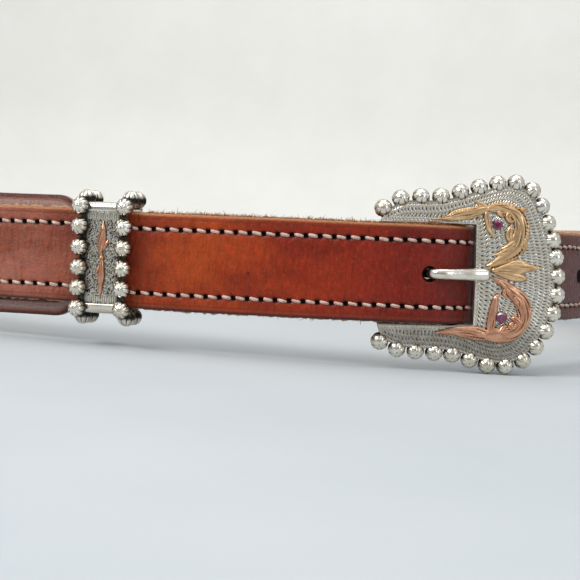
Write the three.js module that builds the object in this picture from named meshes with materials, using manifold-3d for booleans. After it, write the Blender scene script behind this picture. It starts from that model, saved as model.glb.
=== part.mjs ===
// A ranger-style western belt, fastened, standing on its lower edge.
// Millimetres, Z up, front of the belt towards -Y, origin at the middle of the box's floor.
import * as THREE from "three";
import { mergeVertices } from "three/addons/utils/BufferGeometryUtils.js";
import Module from "manifold-3d";

const wasm = await Module();
wasm.setup();

const degrees = Math.PI / 180;

// The loop round the waist, as the inner face of the belt, made of arcs in order from the heel
// bar to the right seen from the front. A place on it is s, the length along it from the heel
// bar, and n, the distance outward from the inner face. Past the buckle the belt bends back
// sharply. The radii of the back and the left side follow from closing the loop.
const barHeading = 5;
const frontArcs = [
  { radius: 66, turn: 8 },
  { radius: 14, turn: 12 },
  { radius: 3, turn: 26 },
  { radius: 420, turn: 6 },
  { radius: 280, turn: 18 },
];
const rightSide = { radius: 112, turn: 85 };
const backTurn = 90;
const leftTurn = 98.6;
const leftFront = { radius: 391, turn: 16.4 };
const waistArcs = closedArcs();
const waistLength = waistArcs.reduce((sum, arc) => sum + arc.radius * arc.turn, 0);

// Leather
const topThick = 1.9;
const liningThick = 1.2;
const gap = 0.3;
const topInner = liningThick + gap;
const layersThick = topInner + topThick;
const narrowHalf = 12.7;
const wideHalf = 15.9;
const edgeBevel = 0.45;
const leftShoulder = { start: -83, end: -89 };
const rightShoulder = { start: 136, end: 143 };
const chapeReturnEnd = -94;
const liningChapeEnd = -5.5;
const billetTip = -135;
const tipTaper = 23;
const holeRadius = 2.3;
const punchReach = 1.2;

// The middles of the punched holes, an inch apart along the grain
const holePlaces = [9.3, 30, 55, 80.2, 105.5];

// How far the billet's inner face lies from the belt's inner face, over the chape and behind the
// toe of the buckle
const billetRise = [
  { s: -140, n: 3.7 },
  { s: 30, n: 3.7 },
  { s: 45, n: 3.4 },
  { s: 70, n: 2.1 },
  { s: 100, n: 0.5 },
  { s: 120, n: 0 },
  { s: 160, n: 0 },
];

// The billet's half width and how far its middle climbs as it comes out of the keeper
const billetWidth = [
  { s: -140, half: 12.3, up: 0.9 },
  { s: -100, half: 12.4, up: 0.9 },
  { s: -82, half: 12.4, up: 0.8 },
  { s: -66, half: 12.6, up: 0.1 },
  { s: -50, half: 12.7, up: 0 },
  { s: 160, half: 12.7, up: 0 },
];

// The leather returns behind the chape, a little further in at the heel bar
const returnRise = [
  { s: -100, n: -0.3 },
  { s: -14, n: -0.3 },
  { s: -9, n: -0.8 },
  { s: -4, n: -1.8 },
  { s: 0, n: -2.3 },
];

// Buckle, in its own frame: u to the right from the heel bar, v up, w outward
const barOffset = -0.4;
const barRadius = 1.6;
const foldRadius = 1.9;
const buckleHeading = 12.5 * degrees;
const buckleRoll = 0.8 * degrees;
const plateBottom = 3.3;
const plateTop = 5.5;
const windowHalf = 13.3;
const windowEnd = 21.5;
const windowCorner = 0.9;
const armEnd = -3.4;
const armInset = 0.5;
const rimBeadRadius = 2.2;
const rimBeadHeight = 4.0;
const rimBeadCount = 27;
const plateEdgeSteps = 60;
const lug = { left: -1.9, right: 2.4, inner: 13.3, outer: 16.2 };

// The line through the rim beads, from the upper arm's end round the toe to the lower one. The
// buckle is cast by hand, so its halves differ a little.
const rimLine = [
  { u: -2.6, v: 16.5 },
  { u: 2.1, v: 19.2 },
  { u: 12.9, v: 20.0 },
  { u: 22.9, v: 22.7 },
  { u: 32.0, v: 24.1 },
  { u: 36.6, v: 22.2 },
  { u: 41.4, v: 14.0 },
  { u: 43.9, v: 4.7 },
  { u: 44.5, v: -5.0 },
  { u: 41.8, v: -14.6 },
  { u: 35.6, v: -22.2 },
  { u: 30.6, v: -23.7 },
  { u: 25.2, v: -23.3 },
  { u: 16.6, v: -20.9 },
  { u: 8.0, v: -20.3 },
  { u: 2.6, v: -19.9 },
  { u: -2.5, v: -17.9 },
];

// Prong: its underside from the loop to the tip
const prongHalf = 1.65;
const prongLoop = { inner: 1.9, outer: 3.4 };
const prongSlot = { half: 2.1, left: -5, right: 4.4, back: -4.4, front: 3.9 };
const prongLine = [
  { u: 2.3, w: -0.9, half: 1.5, thick: 1.9 },
  { u: 5.0, w: 0.2, half: 1.3, thick: 1.6 },
  { u: 8.5, w: 2.5, half: 1.1, thick: 1.3 },
  { u: 9.6, w: 6.0, half: 1.15, thick: 1.3 },
  { u: 10.7, w: 8.5, half: 1.3, thick: 1.5 },
  { u: 12.6, w: 8.8, half: 1.4, thick: 1.7 },
  { u: 16.6, w: 7.8, half: 1.5, thick: 1.7 },
  { u: 21.2, w: 6.2, half: 1.6, thick: 1.7 },
  { u: 24.7, w: 5.8, half: 1.5, thick: 1.5 },
  { u: 25.7, w: 5.8, half: 0.9, thick: 0.9 },
];

// Overlays and stones on the plate
const overlayThick = 0.8;
const stoneUpper = { u: 27.2, v: 13.0, radius: 1.3 };
const stoneLower = { u: 29.1, v: -11.0, radius: 1.5 };
const stoneSeatDepth = 1.2;

// Keeper, in a frame like the buckle's, its middle at keeperAt and a little high
const keeperAt = -74;
const keeperUp = 0.4;
const bandHalf = 6.3;
const bandThick = 1.2;
const keeperInside = { back: -3.0, front: 7.6, half: 13.45 };
const keeperCorner = 1.6;
const keeperBeadRadius = 2.4;
const keeperBeadRow = 6.1;
const keeperBeadPitch = 5.35;
const keeperBeadLift = 0.9;
const keeperSideBeads = [4.9, -0.4];
const keeperLeaf = { half: 1.7, top: 9.9, bottom: -11.2, thick: 0.8 };

// The belt rests on its lowest rim bead and on the lower edge at the back. This heading, seen
// from above, is the way it leans back, and puts its weight over the line between the two.
const leanHeading = 145 * degrees;

const topLeather = leatherMaterial("top_leather", 0x86371a, 0.42);
const liningLeather = leatherMaterial("lining_leather", 0xb9895c, 0.85);
const silver = metalMaterial("silver", 0xd3d2cc, 0.28);
const gold = metalMaterial("rose_gold", 0xc98a5e, 0.35);
const gem = new THREE.MeshStandardMaterial({ name: "stone", color: 0x8a2a5c, roughness: 0.05 });

function leatherMaterial(name, color, roughness) {
  return new THREE.MeshStandardMaterial({ name, color, roughness, metalness: 0 });
}

function metalMaterial(name, color, roughness) {
  return new THREE.MeshStandardMaterial({ name, color, roughness, metalness: 1 });
}

// Places on the loop

// The way from the start to the end of an arc of radius 1
function arcChord(heading, turn) {
  const end = heading + turn;
  return new THREE.Vector2(Math.sin(end) - Math.sin(heading), Math.cos(heading) - Math.cos(end));
}

// All arcs of the loop with turns in radians, the back's and the left side's radii solved for
function closedArcs() {
  const back = { radius: 0, turn: backTurn };
  const left = { radius: 0, turn: leftTurn };
  const arcs = [...frontArcs, rightSide, back, left, leftFront].map((arc) => ({ ...arc }));
  const open = new THREE.Vector2();
  const chords = [];
  let heading = barHeading * degrees;
  for (const arc of arcs) {
    arc.turn *= degrees;
    const chord = arcChord(heading, arc.turn);
    chords.push(chord);
    open.addScaledVector(chord, arc.radius);
    heading += arc.turn;
  }
  const [backChord, leftChord] = chords.slice(frontArcs.length + 1);
  const area = backChord.cross(leftChord);
  arcs[frontArcs.length + 1].radius = -open.cross(leftChord) / area;
  arcs[frontArcs.length + 2].radius = -backChord.cross(open) / area;
  return arcs;
}

function waistPoint(s) {
  let rest = s - waistLength * Math.floor(s / waistLength);
  let heading = barHeading * degrees;
  const at = new THREE.Vector2();
  for (const arc of waistArcs) {
    const step = Math.min(rest, arc.radius * arc.turn);
    at.addScaledVector(arcChord(heading, step / arc.radius), arc.radius);
    heading += step / arc.radius;
    rest -= step;
  }
  return { x: at.x, y: at.y, heading };
}

function place(s, n) {
  const at = waistPoint(s);
  return new THREE.Vector2(at.x + n * Math.sin(at.heading), at.y - n * Math.cos(at.heading));
}

// The matrix of a frame on the loop: first axis to the right, second up, third outward
function frameMatrix(s, n, heading) {
  const at = place(s, n);
  const right = new THREE.Vector3(Math.cos(heading), Math.sin(heading), 0);
  const up = new THREE.Vector3(0, 0, 1);
  const outward = new THREE.Vector3().crossVectors(right, up);
  return new THREE.Matrix4().makeBasis(right, up, outward).setPosition(at.x, at.y, 0);
}

// Smooth value of one column of a table whose rows are in order of s
function lookUp(rows, key, s) {
  let i = 0;
  while (i < rows.length - 2 && s > rows[i + 1].s) i++;
  const from = rows[i];
  const to = rows[i + 1];
  const before = rows[i - 1] ?? from;
  const after = rows[i + 2] ?? to;
  const span = to.s - from.s;
  const t = THREE.MathUtils.clamp((s - from.s) / span, 0, 1);
  const slopeIn = i > 0 ? (span * (to[key] - before[key])) / (to.s - before.s) : 0;
  const slopeOut = rows[i + 2] ? (span * (after[key] - from[key])) / (after.s - from.s) : 0;
  const t2 = t * t;
  const t3 = t2 * t;
  return (
    (2 * t3 - 3 * t2 + 1) * from[key] +
    (t3 - 2 * t2 + t) * slopeIn +
    (3 * t2 - 2 * t3) * to[key] +
    (t3 - t2) * slopeOut
  );
}

// Numbers from one end to the other in even steps
function steps(from, to, count) {
  return Array.from({ length: count + 1 }, (_, i) => from + ((to - from) * i) / count);
}

// Solids

function toSolid(geometry) {
  const bare = geometry.clone();
  bare.deleteAttribute("normal");
  bare.deleteAttribute("uv");
  const merged = mergeVertices(bare, 1e-4);
  return new wasm.Manifold(
    new wasm.Mesh({
      numProp: 3,
      vertProperties: merged.attributes.position.array,
      triVerts: new Uint32Array(merged.index.array),
    }),
  );
}

function toGeometry(solid) {
  const mesh = solid.getMesh();
  const geometry = new THREE.BufferGeometry();
  geometry.setAttribute("position", new THREE.BufferAttribute(mesh.vertProperties, 3));
  geometry.setIndex(new THREE.BufferAttribute(mesh.triVerts, 1));
  return geometry;
}

// A closed body through a row of like sections, with a fan over each end
function loft(sections) {
  const around = sections[0].length;
  const positions = sections.flat().flatMap((p) => [p.x, p.y, p.z]);
  const index = [];
  for (let i = 0; i + 1 < sections.length; i++) {
    for (let j = 0; j < around; j++) {
      const a = i * around + j;
      const b = i * around + ((j + 1) % around);
      index.push(a, b, a + around, b, b + around, a + around);
    }
  }
  const last = (sections.length - 1) * around;
  for (let j = 1; j + 1 < around; j++) {
    index.push(0, j + 1, j);
    index.push(last, last + j, last + j + 1);
  }
  const geometry = new THREE.BufferGeometry();
  geometry.setAttribute("position", new THREE.Float32BufferAttribute(positions, 3));
  geometry.setIndex(index);
  return geometry;
}

function boxSolid(left, right, low, high, back, front) {
  const box = new THREE.BoxGeometry(right - left, high - low, front - back);
  return toSolid(box.translate((left + right) / 2, (low + high) / 2, (back + front) / 2));
}

function beadSolid(radius, x, y, z) {
  return toSolid(new THREE.SphereGeometry(radius, 10, 5).translate(x, y, z));
}

function extruded(shape, depth, base) {
  const geometry = new THREE.ExtrudeGeometry(shape, { depth, bevelEnabled: false, curveSegments: 6 });
  return toSolid(geometry.translate(0, 0, base));
}

// Leather: a stretch is a list of { s, n, low, high } along the flesh side of the leather, in the
// order in which the leather runs from the chape's end to the billet's tip

function chapeReturn() {
  return steps(chapeReturnEnd, -1.5, 14).map((s) => flat(s, lookUp(returnRise, "n", s), narrowHalf));
}

function chapeFold() {
  return steps(-90, 90, 8).map((angle) => {
    const s = foldRadius * Math.cos(angle * degrees);
    return flat(s, barOffset + foldRadius * Math.sin(angle * degrees), narrowHalf);
  });
}

function shoulderHalf(s, shoulder) {
  const t = THREE.MathUtils.clamp((s - shoulder.start) / (shoulder.end - shoulder.start), 0, 1);
  return narrowHalf + (wideHalf - narrowHalf) * Math.sin((t * Math.PI) / 2);
}

function chapeAndBody(inner, from) {
  const rightEnd = rightShoulder.end - waistLength;
  const stretches = [
    steps(from, leftShoulder.start, 8),
    steps(leftShoulder.start, leftShoulder.end, 4),
    steps(leftShoulder.end, rightEnd, 56),
    steps(rightEnd, rightShoulder.start - waistLength, 4),
  ];
  const leftPart = [...stretches[0], ...stretches[1].slice(1)];
  const rightPart = [...stretches[2].slice(1), ...stretches[3].slice(1)];
  return [
    ...leftPart.map((s) => flat(s, inner, shoulderHalf(s, leftShoulder))),
    ...rightPart.map((s) => flat(s, inner, shoulderHalf(s + waistLength, rightShoulder))),
  ];
}

function tipHalf(s) {
  const t = THREE.MathUtils.clamp((billetTip + tipTaper - s) / tipTaper, 0, 1);
  return Math.pow(1 - Math.pow(t, 2.2), 0.6);
}

function billet(inner) {
  const places = [
    ...steps(rightShoulder.start, 16, 15).slice(1),
    ...steps(16, 9, 14).slice(1),
    ...steps(9, 0, 4).slice(1),
    ...steps(0, billetTip + tipTaper, 14).slice(1),
    ...steps(billetTip + tipTaper, billetTip + 1, 9).slice(1),
  ];
  return places.map((s) => {
    const half = lookUp(billetWidth, "half", s) * tipHalf(s);
    const up = lookUp(billetWidth, "up", s);
    return { s, n: lookUp(billetRise, "n", s) + inner, low: up - half, high: up + half };
  });
}

function flat(s, n, half) {
  return { s, n, low: -half, high: half };
}

// A leather band with bevelled edges, its grain side on the left of the way it runs
function leatherBand(stations, thick) {
  const line = stations.map((station) => place(station.s, station.n));
  const last = line.length - 1;
  const sections = stations.map((station, i) => {
    const before = line[Math.max(i - 1, 0)];
    const after = line[Math.min(i + 1, last)];
    const run = new THREE.Vector2().subVectors(after, before).normalize();
    const outline = [
      { out: 0, z: station.low + edgeBevel },
      { out: edgeBevel, z: station.low },
      { out: thick - edgeBevel, z: station.low },
      { out: thick, z: station.low + edgeBevel },
      { out: thick, z: station.high - edgeBevel },
      { out: thick - edgeBevel, z: station.high },
      { out: edgeBevel, z: station.high },
      { out: 0, z: station.high - edgeBevel },
    ];
    return outline.map(
      ({ out, z }) => new THREE.Vector3(line[i].x - run.y * out, line[i].y + run.x * out, z),
    );
  });
  return toSolid(loft(sections));
}

// Punched holes through both leathers of the billet
function holeCutters() {
  return holePlaces.map((s) => {
    const inner = lookUp(billetRise, "n", s);
    const slope = lookUp(billetRise, "n", s + 1) - lookUp(billetRise, "n", s - 1);
    const length = layersThick + 2 * punchReach;
    const punch = new THREE.CylinderGeometry(holeRadius, holeRadius, length, 12);
    punch.rotateX(Math.PI / 2).rotateY(-Math.atan(slope / 2));
    punch.translate(0, 0, layersThick / 2);
    return toSolid(punch.applyMatrix4(frameMatrix(s, inner, waistPoint(s).heading)));
  });
}

// The slot through the fold that the prong's loop sits in
function slotCutter() {
  const { half, left, right, back, front } = prongSlot;
  const slot = new THREE.BoxGeometry(right - left, 2 * half, front - back);
  slot.translate((left + right) / 2, 0, (back + front) / 2);
  return toSolid(slot.applyMatrix4(frameMatrix(0, barOffset, waistPoint(0).heading)));
}

function topStrap() {
  const stations = [
    ...chapeReturn(),
    ...chapeFold(),
    ...chapeAndBody(topInner, -3),
    ...billet(topInner),
  ];
  let solid = leatherBand(stations, topThick).subtract(slotCutter());
  for (const cutter of holeCutters()) solid = solid.subtract(cutter);
  return toGeometry(solid);
}

function lining() {
  const stations = [...chapeAndBody(0, liningChapeEnd), ...billet(0)];
  let solid = leatherBand(stations, liningThick);
  for (const cutter of holeCutters()) solid = solid.subtract(cutter);
  return toGeometry(solid);
}

// Buckle

function rimCurve() {
  const line = rimLine.map(({ u, v }) => new THREE.Vector3(u, v, 0));
  return new THREE.CatmullRomCurve3(line, false, "centripetal");
}

function plateSolid() {
  const shape = new THREE.Shape();
  const rim = rimCurve().getSpacedPoints(plateEdgeSteps);
  shape.moveTo(armEnd, windowHalf);
  shape.lineTo(armEnd, rim[0].y - armInset);
  for (const point of rim) {
    shape.lineTo(point.x, point.y - armInset * Math.sign(point.y));
  }
  shape.lineTo(armEnd, rim.at(-1).y + armInset);
  shape.lineTo(armEnd, -windowHalf);
  shape.lineTo(windowEnd - windowCorner, -windowHalf);
  shape.lineTo(windowEnd, windowCorner - windowHalf);
  shape.lineTo(windowEnd, windowHalf - windowCorner);
  shape.lineTo(windowEnd - windowCorner, windowHalf);
  shape.closePath();
  return extruded(shape, plateTop - plateBottom, plateBottom);
}

function buckleFrame() {
  let solid = plateSolid();
  for (const point of rimCurve().getSpacedPoints(rimBeadCount - 1)) {
    solid = solid.add(beadSolid(rimBeadRadius, point.x, point.y, rimBeadHeight));
  }
  for (const side of [-1, 1]) {
    const low = Math.min(side * lug.inner, side * lug.outer);
    const high = Math.max(side * lug.inner, side * lug.outer);
    const middle = (plateBottom + plateTop) / 2;
    solid = solid.add(boxSolid(lug.left, lug.right, low, high, -barRadius, middle));
  }
  const bar = new THREE.CylinderGeometry(barRadius, barRadius, 2 * lug.inner + 1, 12);
  solid = solid.add(toSolid(bar));
  for (const stone of [stoneUpper, stoneLower]) solid = solid.subtract(stoneSeat(stone));
  return toGeometry(solid);
}

function prong() {
  const ring = new THREE.Shape().absarc(0, 0, prongLoop.outer, 0, 2 * Math.PI, false);
  ring.holes.push(new THREE.Path().absarc(0, 0, prongLoop.inner, 0, 2 * Math.PI, true));
  const options = { depth: 2 * prongHalf, bevelEnabled: false, curveSegments: 10 };
  const loop = new THREE.ExtrudeGeometry(ring, options);
  loop.translate(0, 0, -prongHalf).rotateX(Math.PI / 2);
  const sections = prongLine.map((row, i) => {
    const before = prongLine[Math.max(i - 1, 0)];
    const after = prongLine[Math.min(i + 1, prongLine.length - 1)];
    const run = new THREE.Vector2(after.u - before.u, after.w - before.w).normalize();
    const outline = [
      { v: row.half, out: 0 },
      { v: row.half, out: 0.45 * row.thick },
      { v: 0.5 * row.half, out: row.thick },
      { v: -0.5 * row.half, out: row.thick },
      { v: -row.half, out: 0.45 * row.thick },
      { v: -row.half, out: 0 },
    ];
    return outline.map(
      ({ v, out }) => new THREE.Vector3(row.u - run.y * out, v, row.w + run.x * out),
    );
  });
  return toGeometry(toSolid(loop).add(toSolid(loft(sections))));
}

// Overlays

// A closed outline, smooth through its points, laid on the plate
function overlay(points) {
  const line = points.map(({ u, v }) => new THREE.Vector3(u, v, 0));
  const curve = new THREE.CatmullRomCurve3(line, true, "centripetal");
  const shape = new THREE.Shape(curve.getPoints(points.length * 2).slice(0, -1));
  return toGeometry(extruded(shape, overlayThick, plateTop + gap));
}

// The upper scroll: a leaf on the arm, an arch over the stone and a stem down to the prong's end
function upperScroll() {
  return overlay([
    { u: 10, v: 14.1 },
    { u: 15.9, v: 16.2 },
    { u: 20.7, v: 17.2 },
    { u: 25.5, v: 18.4 },
    { u: 30.5, v: 18.4 },
    { u: 34.1, v: 16.6 },
    { u: 35.4, v: 13.2 },
    { u: 35.5, v: 9.6 },
    { u: 33.6, v: 6.2 },
    { u: 29.4, v: 3.5 },
    { u: 24.6, v: 2.3 },
    { u: 27.8, v: 5.0 },
    { u: 30.9, v: 8.0 },
    { u: 32.0, v: 11.0 },
    { u: 31.9, v: 13.6 },
    { u: 30.0, v: 15.9 },
    { u: 24.0, v: 16.0 },
    { u: 18.4, v: 14.3 },
    { u: 14.3, v: 13.8 },
  ]);
}

// The lower scroll is much the same the other way up, with its stem going round the stone
function lowerScroll() {
  return overlay([
    { u: 11.6, v: -15.4 },
    { u: 16.7, v: -13.5 },
    { u: 20.8, v: -13.6 },
    { u: 25.6, v: -14.6 },
    { u: 30.2, v: -14.0 },
    { u: 33.4, v: -12.0 },
    { u: 33.9, v: -9.4 },
    { u: 32.6, v: -6.8 },
    { u: 29.8, v: -4.1 },
    { u: 26.4, v: -1.5 },
    { u: 29.3, v: -1.1 },
    { u: 33.5, v: -3.6 },
    { u: 36.3, v: -6.2 },
    { u: 37.1, v: -9.4 },
    { u: 36.2, v: -13.3 },
    { u: 33.9, v: -16.0 },
    { u: 30.6, v: -17.3 },
    { u: 24.5, v: -17.2 },
    { u: 18.4, v: -16.0 },
  ]);
}

function centreLeaf() {
  return overlay([
    { u: 26.9, v: 0.6 },
    { u: 29.5, v: 2.2 },
    { u: 32.6, v: 3.2 },
    { u: 35.2, v: 3.1 },
    { u: 39.8, v: 2.2 },
    { u: 36.6, v: 1.0 },
    { u: 34.4, v: -1.2 },
    { u: 31.8, v: -1.1 },
    { u: 29.2, v: -0.2 },
  ]);
}

// Stones: a flat table, eight crown facets and eight below the girdle
function stoneGeometry({ u, v, radius }) {
  const rings = [
    { size: 0.12, w: -0.62, turn: 0 },
    { size: 1, w: 0.16, turn: 0.5 },
    { size: 1, w: 0.24, turn: 0.5 },
    { size: 0.6, w: 0.62, turn: 0 },
  ];
  const sections = rings.map(({ size, w, turn }) =>
    steps(0, 7, 7).map((i) => {
      const angle = ((i + turn) * Math.PI) / 4;
      const x = u + size * radius * Math.cos(angle);
      const y = v + size * radius * Math.sin(angle);
      return new THREE.Vector3(x, y, plateTop + gap + w * radius);
    }),
  );
  return loft(sections);
}

function stoneSeat({ u, v, radius }) {
  const reach = 2 * stoneSeatDepth;
  const seat = new THREE.CylinderGeometry(radius + gap, radius + gap, reach, 12);
  return toSolid(seat.rotateX(Math.PI / 2).translate(u, v, plateTop));
}

// Keeper

function roundedBox(left, right, low, high, corner) {
  const shape = new THREE.Shape();
  shape.moveTo(left + corner, low);
  shape.lineTo(right - corner, low);
  shape.quadraticCurveTo(right, low, right, low + corner);
  shape.lineTo(right, high - corner);
  shape.quadraticCurveTo(right, high, right - corner, high);
  shape.lineTo(left + corner, high);
  shape.quadraticCurveTo(left, high, left, high - corner);
  shape.lineTo(left, low + corner);
  shape.quadraticCurveTo(left, low, left + corner, low);
  return shape;
}

function keeperLoop() {
  const { back, front, half } = keeperInside;
  const outerHalf = half + bandThick;
  const outline = roundedBox(back - bandThick, front + bandThick, -outerHalf, outerHalf, keeperCorner);
  outline.holes.push(roundedBox(back, front, -half, half, keeperCorner - bandThick));
  const options = { depth: 2 * bandHalf, bevelEnabled: false, curveSegments: 3 };
  const band = new THREE.ExtrudeGeometry(outline, options);
  band.translate(0, 0, -bandHalf).rotateY(-Math.PI / 2);
  let solid = toSolid(band);
  const faceBeads = steps(-2.5, 2.5, 5).map((i) => ({
    v: i * keeperBeadPitch,
    w: front + bandThick + keeperBeadLift,
  }));
  const sideHeight = outerHalf + keeperBeadLift;
  const sideBeads = keeperSideBeads.flatMap((w) => [
    { v: sideHeight, w },
    { v: -sideHeight, w },
  ]);
  for (const u of [-keeperBeadRow, keeperBeadRow]) {
    for (const { v, w } of [...faceBeads, ...sideBeads]) {
      solid = solid.add(beadSolid(keeperBeadRadius, u, v, w));
    }
  }
  return toGeometry(solid);
}

function keeperLeafGeometry() {
  const { half, top, bottom, thick } = keeperLeaf;
  const knot = (top + bottom) / 2 + 0.6;
  const right = [
    { u: 0, v: bottom },
    { u: 0.75 * half, v: bottom + 4 },
    { u: 0.35 * half, v: knot - 1.6 },
    { u: 0.8 * half, v: knot },
    { u: 0.4 * half, v: knot + 1.6 },
    { u: half, v: top - 5 },
    { u: 0, v: top },
  ];
  const left = right.slice(1, -1).reverse().map(({ u, v }) => ({ u: -u, v }));
  const shape = new THREE.Shape([...right, ...left].map(({ u, v }) => new THREE.Vector2(u, v)));
  return toGeometry(extruded(shape, thick, keeperInside.front + bandThick + gap));
}

// Assembly

function addMesh(group, name, geometry, material) {
  const mesh = new THREE.Mesh(geometry, material);
  mesh.name = name;
  group.add(mesh);
}

function framedGroup(matrix) {
  const group = new THREE.Group();
  group.applyMatrix4(matrix);
  return group;
}

// The buckle is turned a little about its own face
function buckleMatrix() {
  const roll = new THREE.Matrix4().makeRotationZ(buckleRoll);
  return frameMatrix(0, barOffset, buckleHeading).multiply(roll);
}

function buckleGroup() {
  const group = framedGroup(buckleMatrix());
  addMesh(group, "buckle_frame", buckleFrame(), silver);
  addMesh(group, "buckle_prong", prong(), silver);
  addMesh(group, "scroll_upper", upperScroll(), gold);
  addMesh(group, "scroll_lower", lowerScroll(), gold);
  addMesh(group, "center_leaf", centreLeaf(), gold);
  addMesh(group, "stone_upper", stoneGeometry(stoneUpper), gem);
  addMesh(group, "stone_lower", stoneGeometry(stoneLower), gem);
  return group;
}

function keeperGroup() {
  const group = framedGroup(frameMatrix(keeperAt, 0, waistPoint(keeperAt).heading));
  group.position.z = keeperUp;
  addMesh(group, "keeper_loop", keeperLoop(), silver);
  addMesh(group, "keeper_leaf", keeperLeafGeometry(), gold);
  return group;
}

// The angle at which the lowest rim bead and the far lower edge touch the floor together
function leanAngle() {
  const lean = new THREE.Vector2(Math.cos(leanHeading), Math.sin(leanHeading));
  const beads = rimCurve().getSpacedPoints(rimBeadCount - 1).map(({ x, y }) =>
    new THREE.Vector3(x, y, rimBeadHeight).applyMatrix4(buckleMatrix()),
  );
  const bead = beads.reduce((a, b) => (b.z < a.z ? b : a));
  const farthest = Math.max(
    ...steps(0, waistLength, 360).map((s) => place(s, topInner).dot(lean)),
  );
  const drop = -bead.z + rimBeadRadius - wideHalf;
  return Math.atan(drop / (farthest - new THREE.Vector2(bead.x, bead.y).dot(lean)));
}

function belt() {
  const loop = new THREE.Group();
  addMesh(loop, "belt_strap", topStrap(), topLeather);
  addMesh(loop, "belt_lining", lining(), liningLeather);
  loop.add(buckleGroup(), keeperGroup());
  const axis = new THREE.Vector3(-Math.sin(leanHeading), Math.cos(leanHeading), 0);
  loop.quaternion.setFromAxisAngle(axis, leanAngle());
  const box = new THREE.Box3().setFromObject(loop, true);
  const middle = box.getCenter(new THREE.Vector3());
  loop.position.set(-middle.x, -middle.y, -box.min.z);
  const group = new THREE.Group();
  group.add(loop);
  return group;
}

export default belt();
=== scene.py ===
# A fastened ranger-style belt with a silver buckle and keeper, standing on its lower edge.
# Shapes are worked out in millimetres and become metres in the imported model's frame.
import math

import bmesh
import bpy
import numpy as np
from mathutils import Matrix, Vector
from mathutils.bvhtree import BVHTree
from mathutils.interpolate import poly_3d_calc


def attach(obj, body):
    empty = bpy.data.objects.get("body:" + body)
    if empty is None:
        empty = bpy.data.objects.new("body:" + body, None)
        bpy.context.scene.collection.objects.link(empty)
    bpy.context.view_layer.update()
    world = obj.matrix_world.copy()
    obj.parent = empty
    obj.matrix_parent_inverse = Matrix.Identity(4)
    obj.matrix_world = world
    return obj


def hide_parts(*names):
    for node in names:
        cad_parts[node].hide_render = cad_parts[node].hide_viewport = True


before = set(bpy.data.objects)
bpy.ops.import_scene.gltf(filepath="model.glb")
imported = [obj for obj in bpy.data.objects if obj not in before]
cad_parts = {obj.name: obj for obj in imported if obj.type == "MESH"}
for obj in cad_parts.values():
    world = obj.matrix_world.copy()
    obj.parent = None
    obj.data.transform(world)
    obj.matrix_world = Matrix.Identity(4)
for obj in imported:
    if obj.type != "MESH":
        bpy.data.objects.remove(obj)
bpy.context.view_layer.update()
random = np.random.default_rng(8)

DEGREES = math.pi / 180

# The loop round the waist: arcs to the right from the heel bar, as in the solids
BAR_HEADING = 5
ARC_RADII = [66, 14, 3, 420, 280, 112, 0, 0, 391]
ARC_TURNS = [8, 12, 26, 6, 18, 85, 90, 98.6, 16.4]
BACK_ARC, LEFT_ARC = 6, 7
LEAN_HEADING = 145 * DEGREES
LEAN = 1.911 * DEGREES

# Leather
TOP_THICK = 1.9
LINING_THICK = 1.48
TOP_INNER = 1.5
NARROW_HALF = 12.7
WIDE_HALF = 15.9
EDGE_ROUND = 0.7
SHARP_ANGLE = 50 * DEGREES
LEFT_SHOULDER = (-83, -89)
RIGHT_SHOULDER = (136, 143)
CHAPE_RETURN_END = -94
LINING_CHAPE_END = -5.5
FOLD_RADIUS = 1.9
BILLET_TIP = -135
TIP_TAPER = 23
HOLE_RADIUS = 2.1
FIRST_LINING_HOLE = 1.35
PUNCH_PAST = 1.2
SLOT_ENDS = (-5, 4.4)
SLOT_HALF = 2.1
# Width of the painted shade round each hole of the lining
SLOT_DEPTHS = (-4.4, 3.9)
HOLE_SHADE_WIDTH = 0.8
HOLE_PLACES = [9.3, 30, 55, 80.2, 105.5]
BILLET_RISE = [(-140, 3.7), (30, 3.7), (45, 3.4), (70, 2.1), (100, 0.5), (120, 0), (160, 0)]
BILLET_HALF = [(-140, 12.3), (-100, 12.4), (-82, 12.4), (-66, 12.6), (-50, 12.7), (160, 12.7)]
BILLET_UP = [(-140, 0.9), (-100, 0.9), (-82, 0.8), (-66, 0.1), (-50, 0), (160, 0)]
BODY_UP = [(-180, 0), (-130, 0.25), (-84, 0.35), (-60, 0), (0, 0)]
BODY_WIDER = [(-180, 0), (-130, 0.35), (-86, 0.35), (-80, 0), (0, 0)]
RETURN_RISE = [(-100, -0.3), (-14, -0.3), (-9, -0.8), (-4, -1.8), (0, -2.3)]

# Stretches over which sections lie at a spacing of their own
CHAPE_LENGTH = 80
SEEN_BODY_END = -112
UNSEEN_BODY_LENGTH = 615
BILLET_BEND = (16, 8)

# Distances from the edge to each line of points: on the grain side, on the lining's outer side,
# and on the back, where the second column is the share of the thickness
GRAIN_INSETS = [0.0, 0.12, 0.32, 0.6, 1.0, 1.35, 1.7, 2.4, 3.1, 3.5, 3.85, 4.2, 4.55, 4.9, 5.3, 6.4, 8.6]
LINING_INSETS = [0.0, 0.12, 0.4, 1.0, 2.6, 3.7, 4.2, 4.7, 6.4, 8.8]
BACK_HALF = [(0.0, 1.0), (0.0, 0.55), (0.12, 0.12), (0.6, 0.0), (3.5, 0.0)]

# Small dark marks on the billet, with columns place, height and radius
MARKS = [(-34.0, -1.9, 0.42), (-38.4, -7.4, 0.3)]

# Stitches, in rows along both edges
STITCH_PITCH = 3.65
ROW_INSET = 4.2
ROW_WIDE_STEP = 0.25
THREAD_RADIUS = 0.42
STITCH_GAP = 1.24

# Loose fibres between two places, with a clump at a third
FIBRES = 2200
FIBRE_ENDS = (19, -62)
FIBRE_CLUMP = 12.5
FIBRE_RADIUS = 0.1

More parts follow.
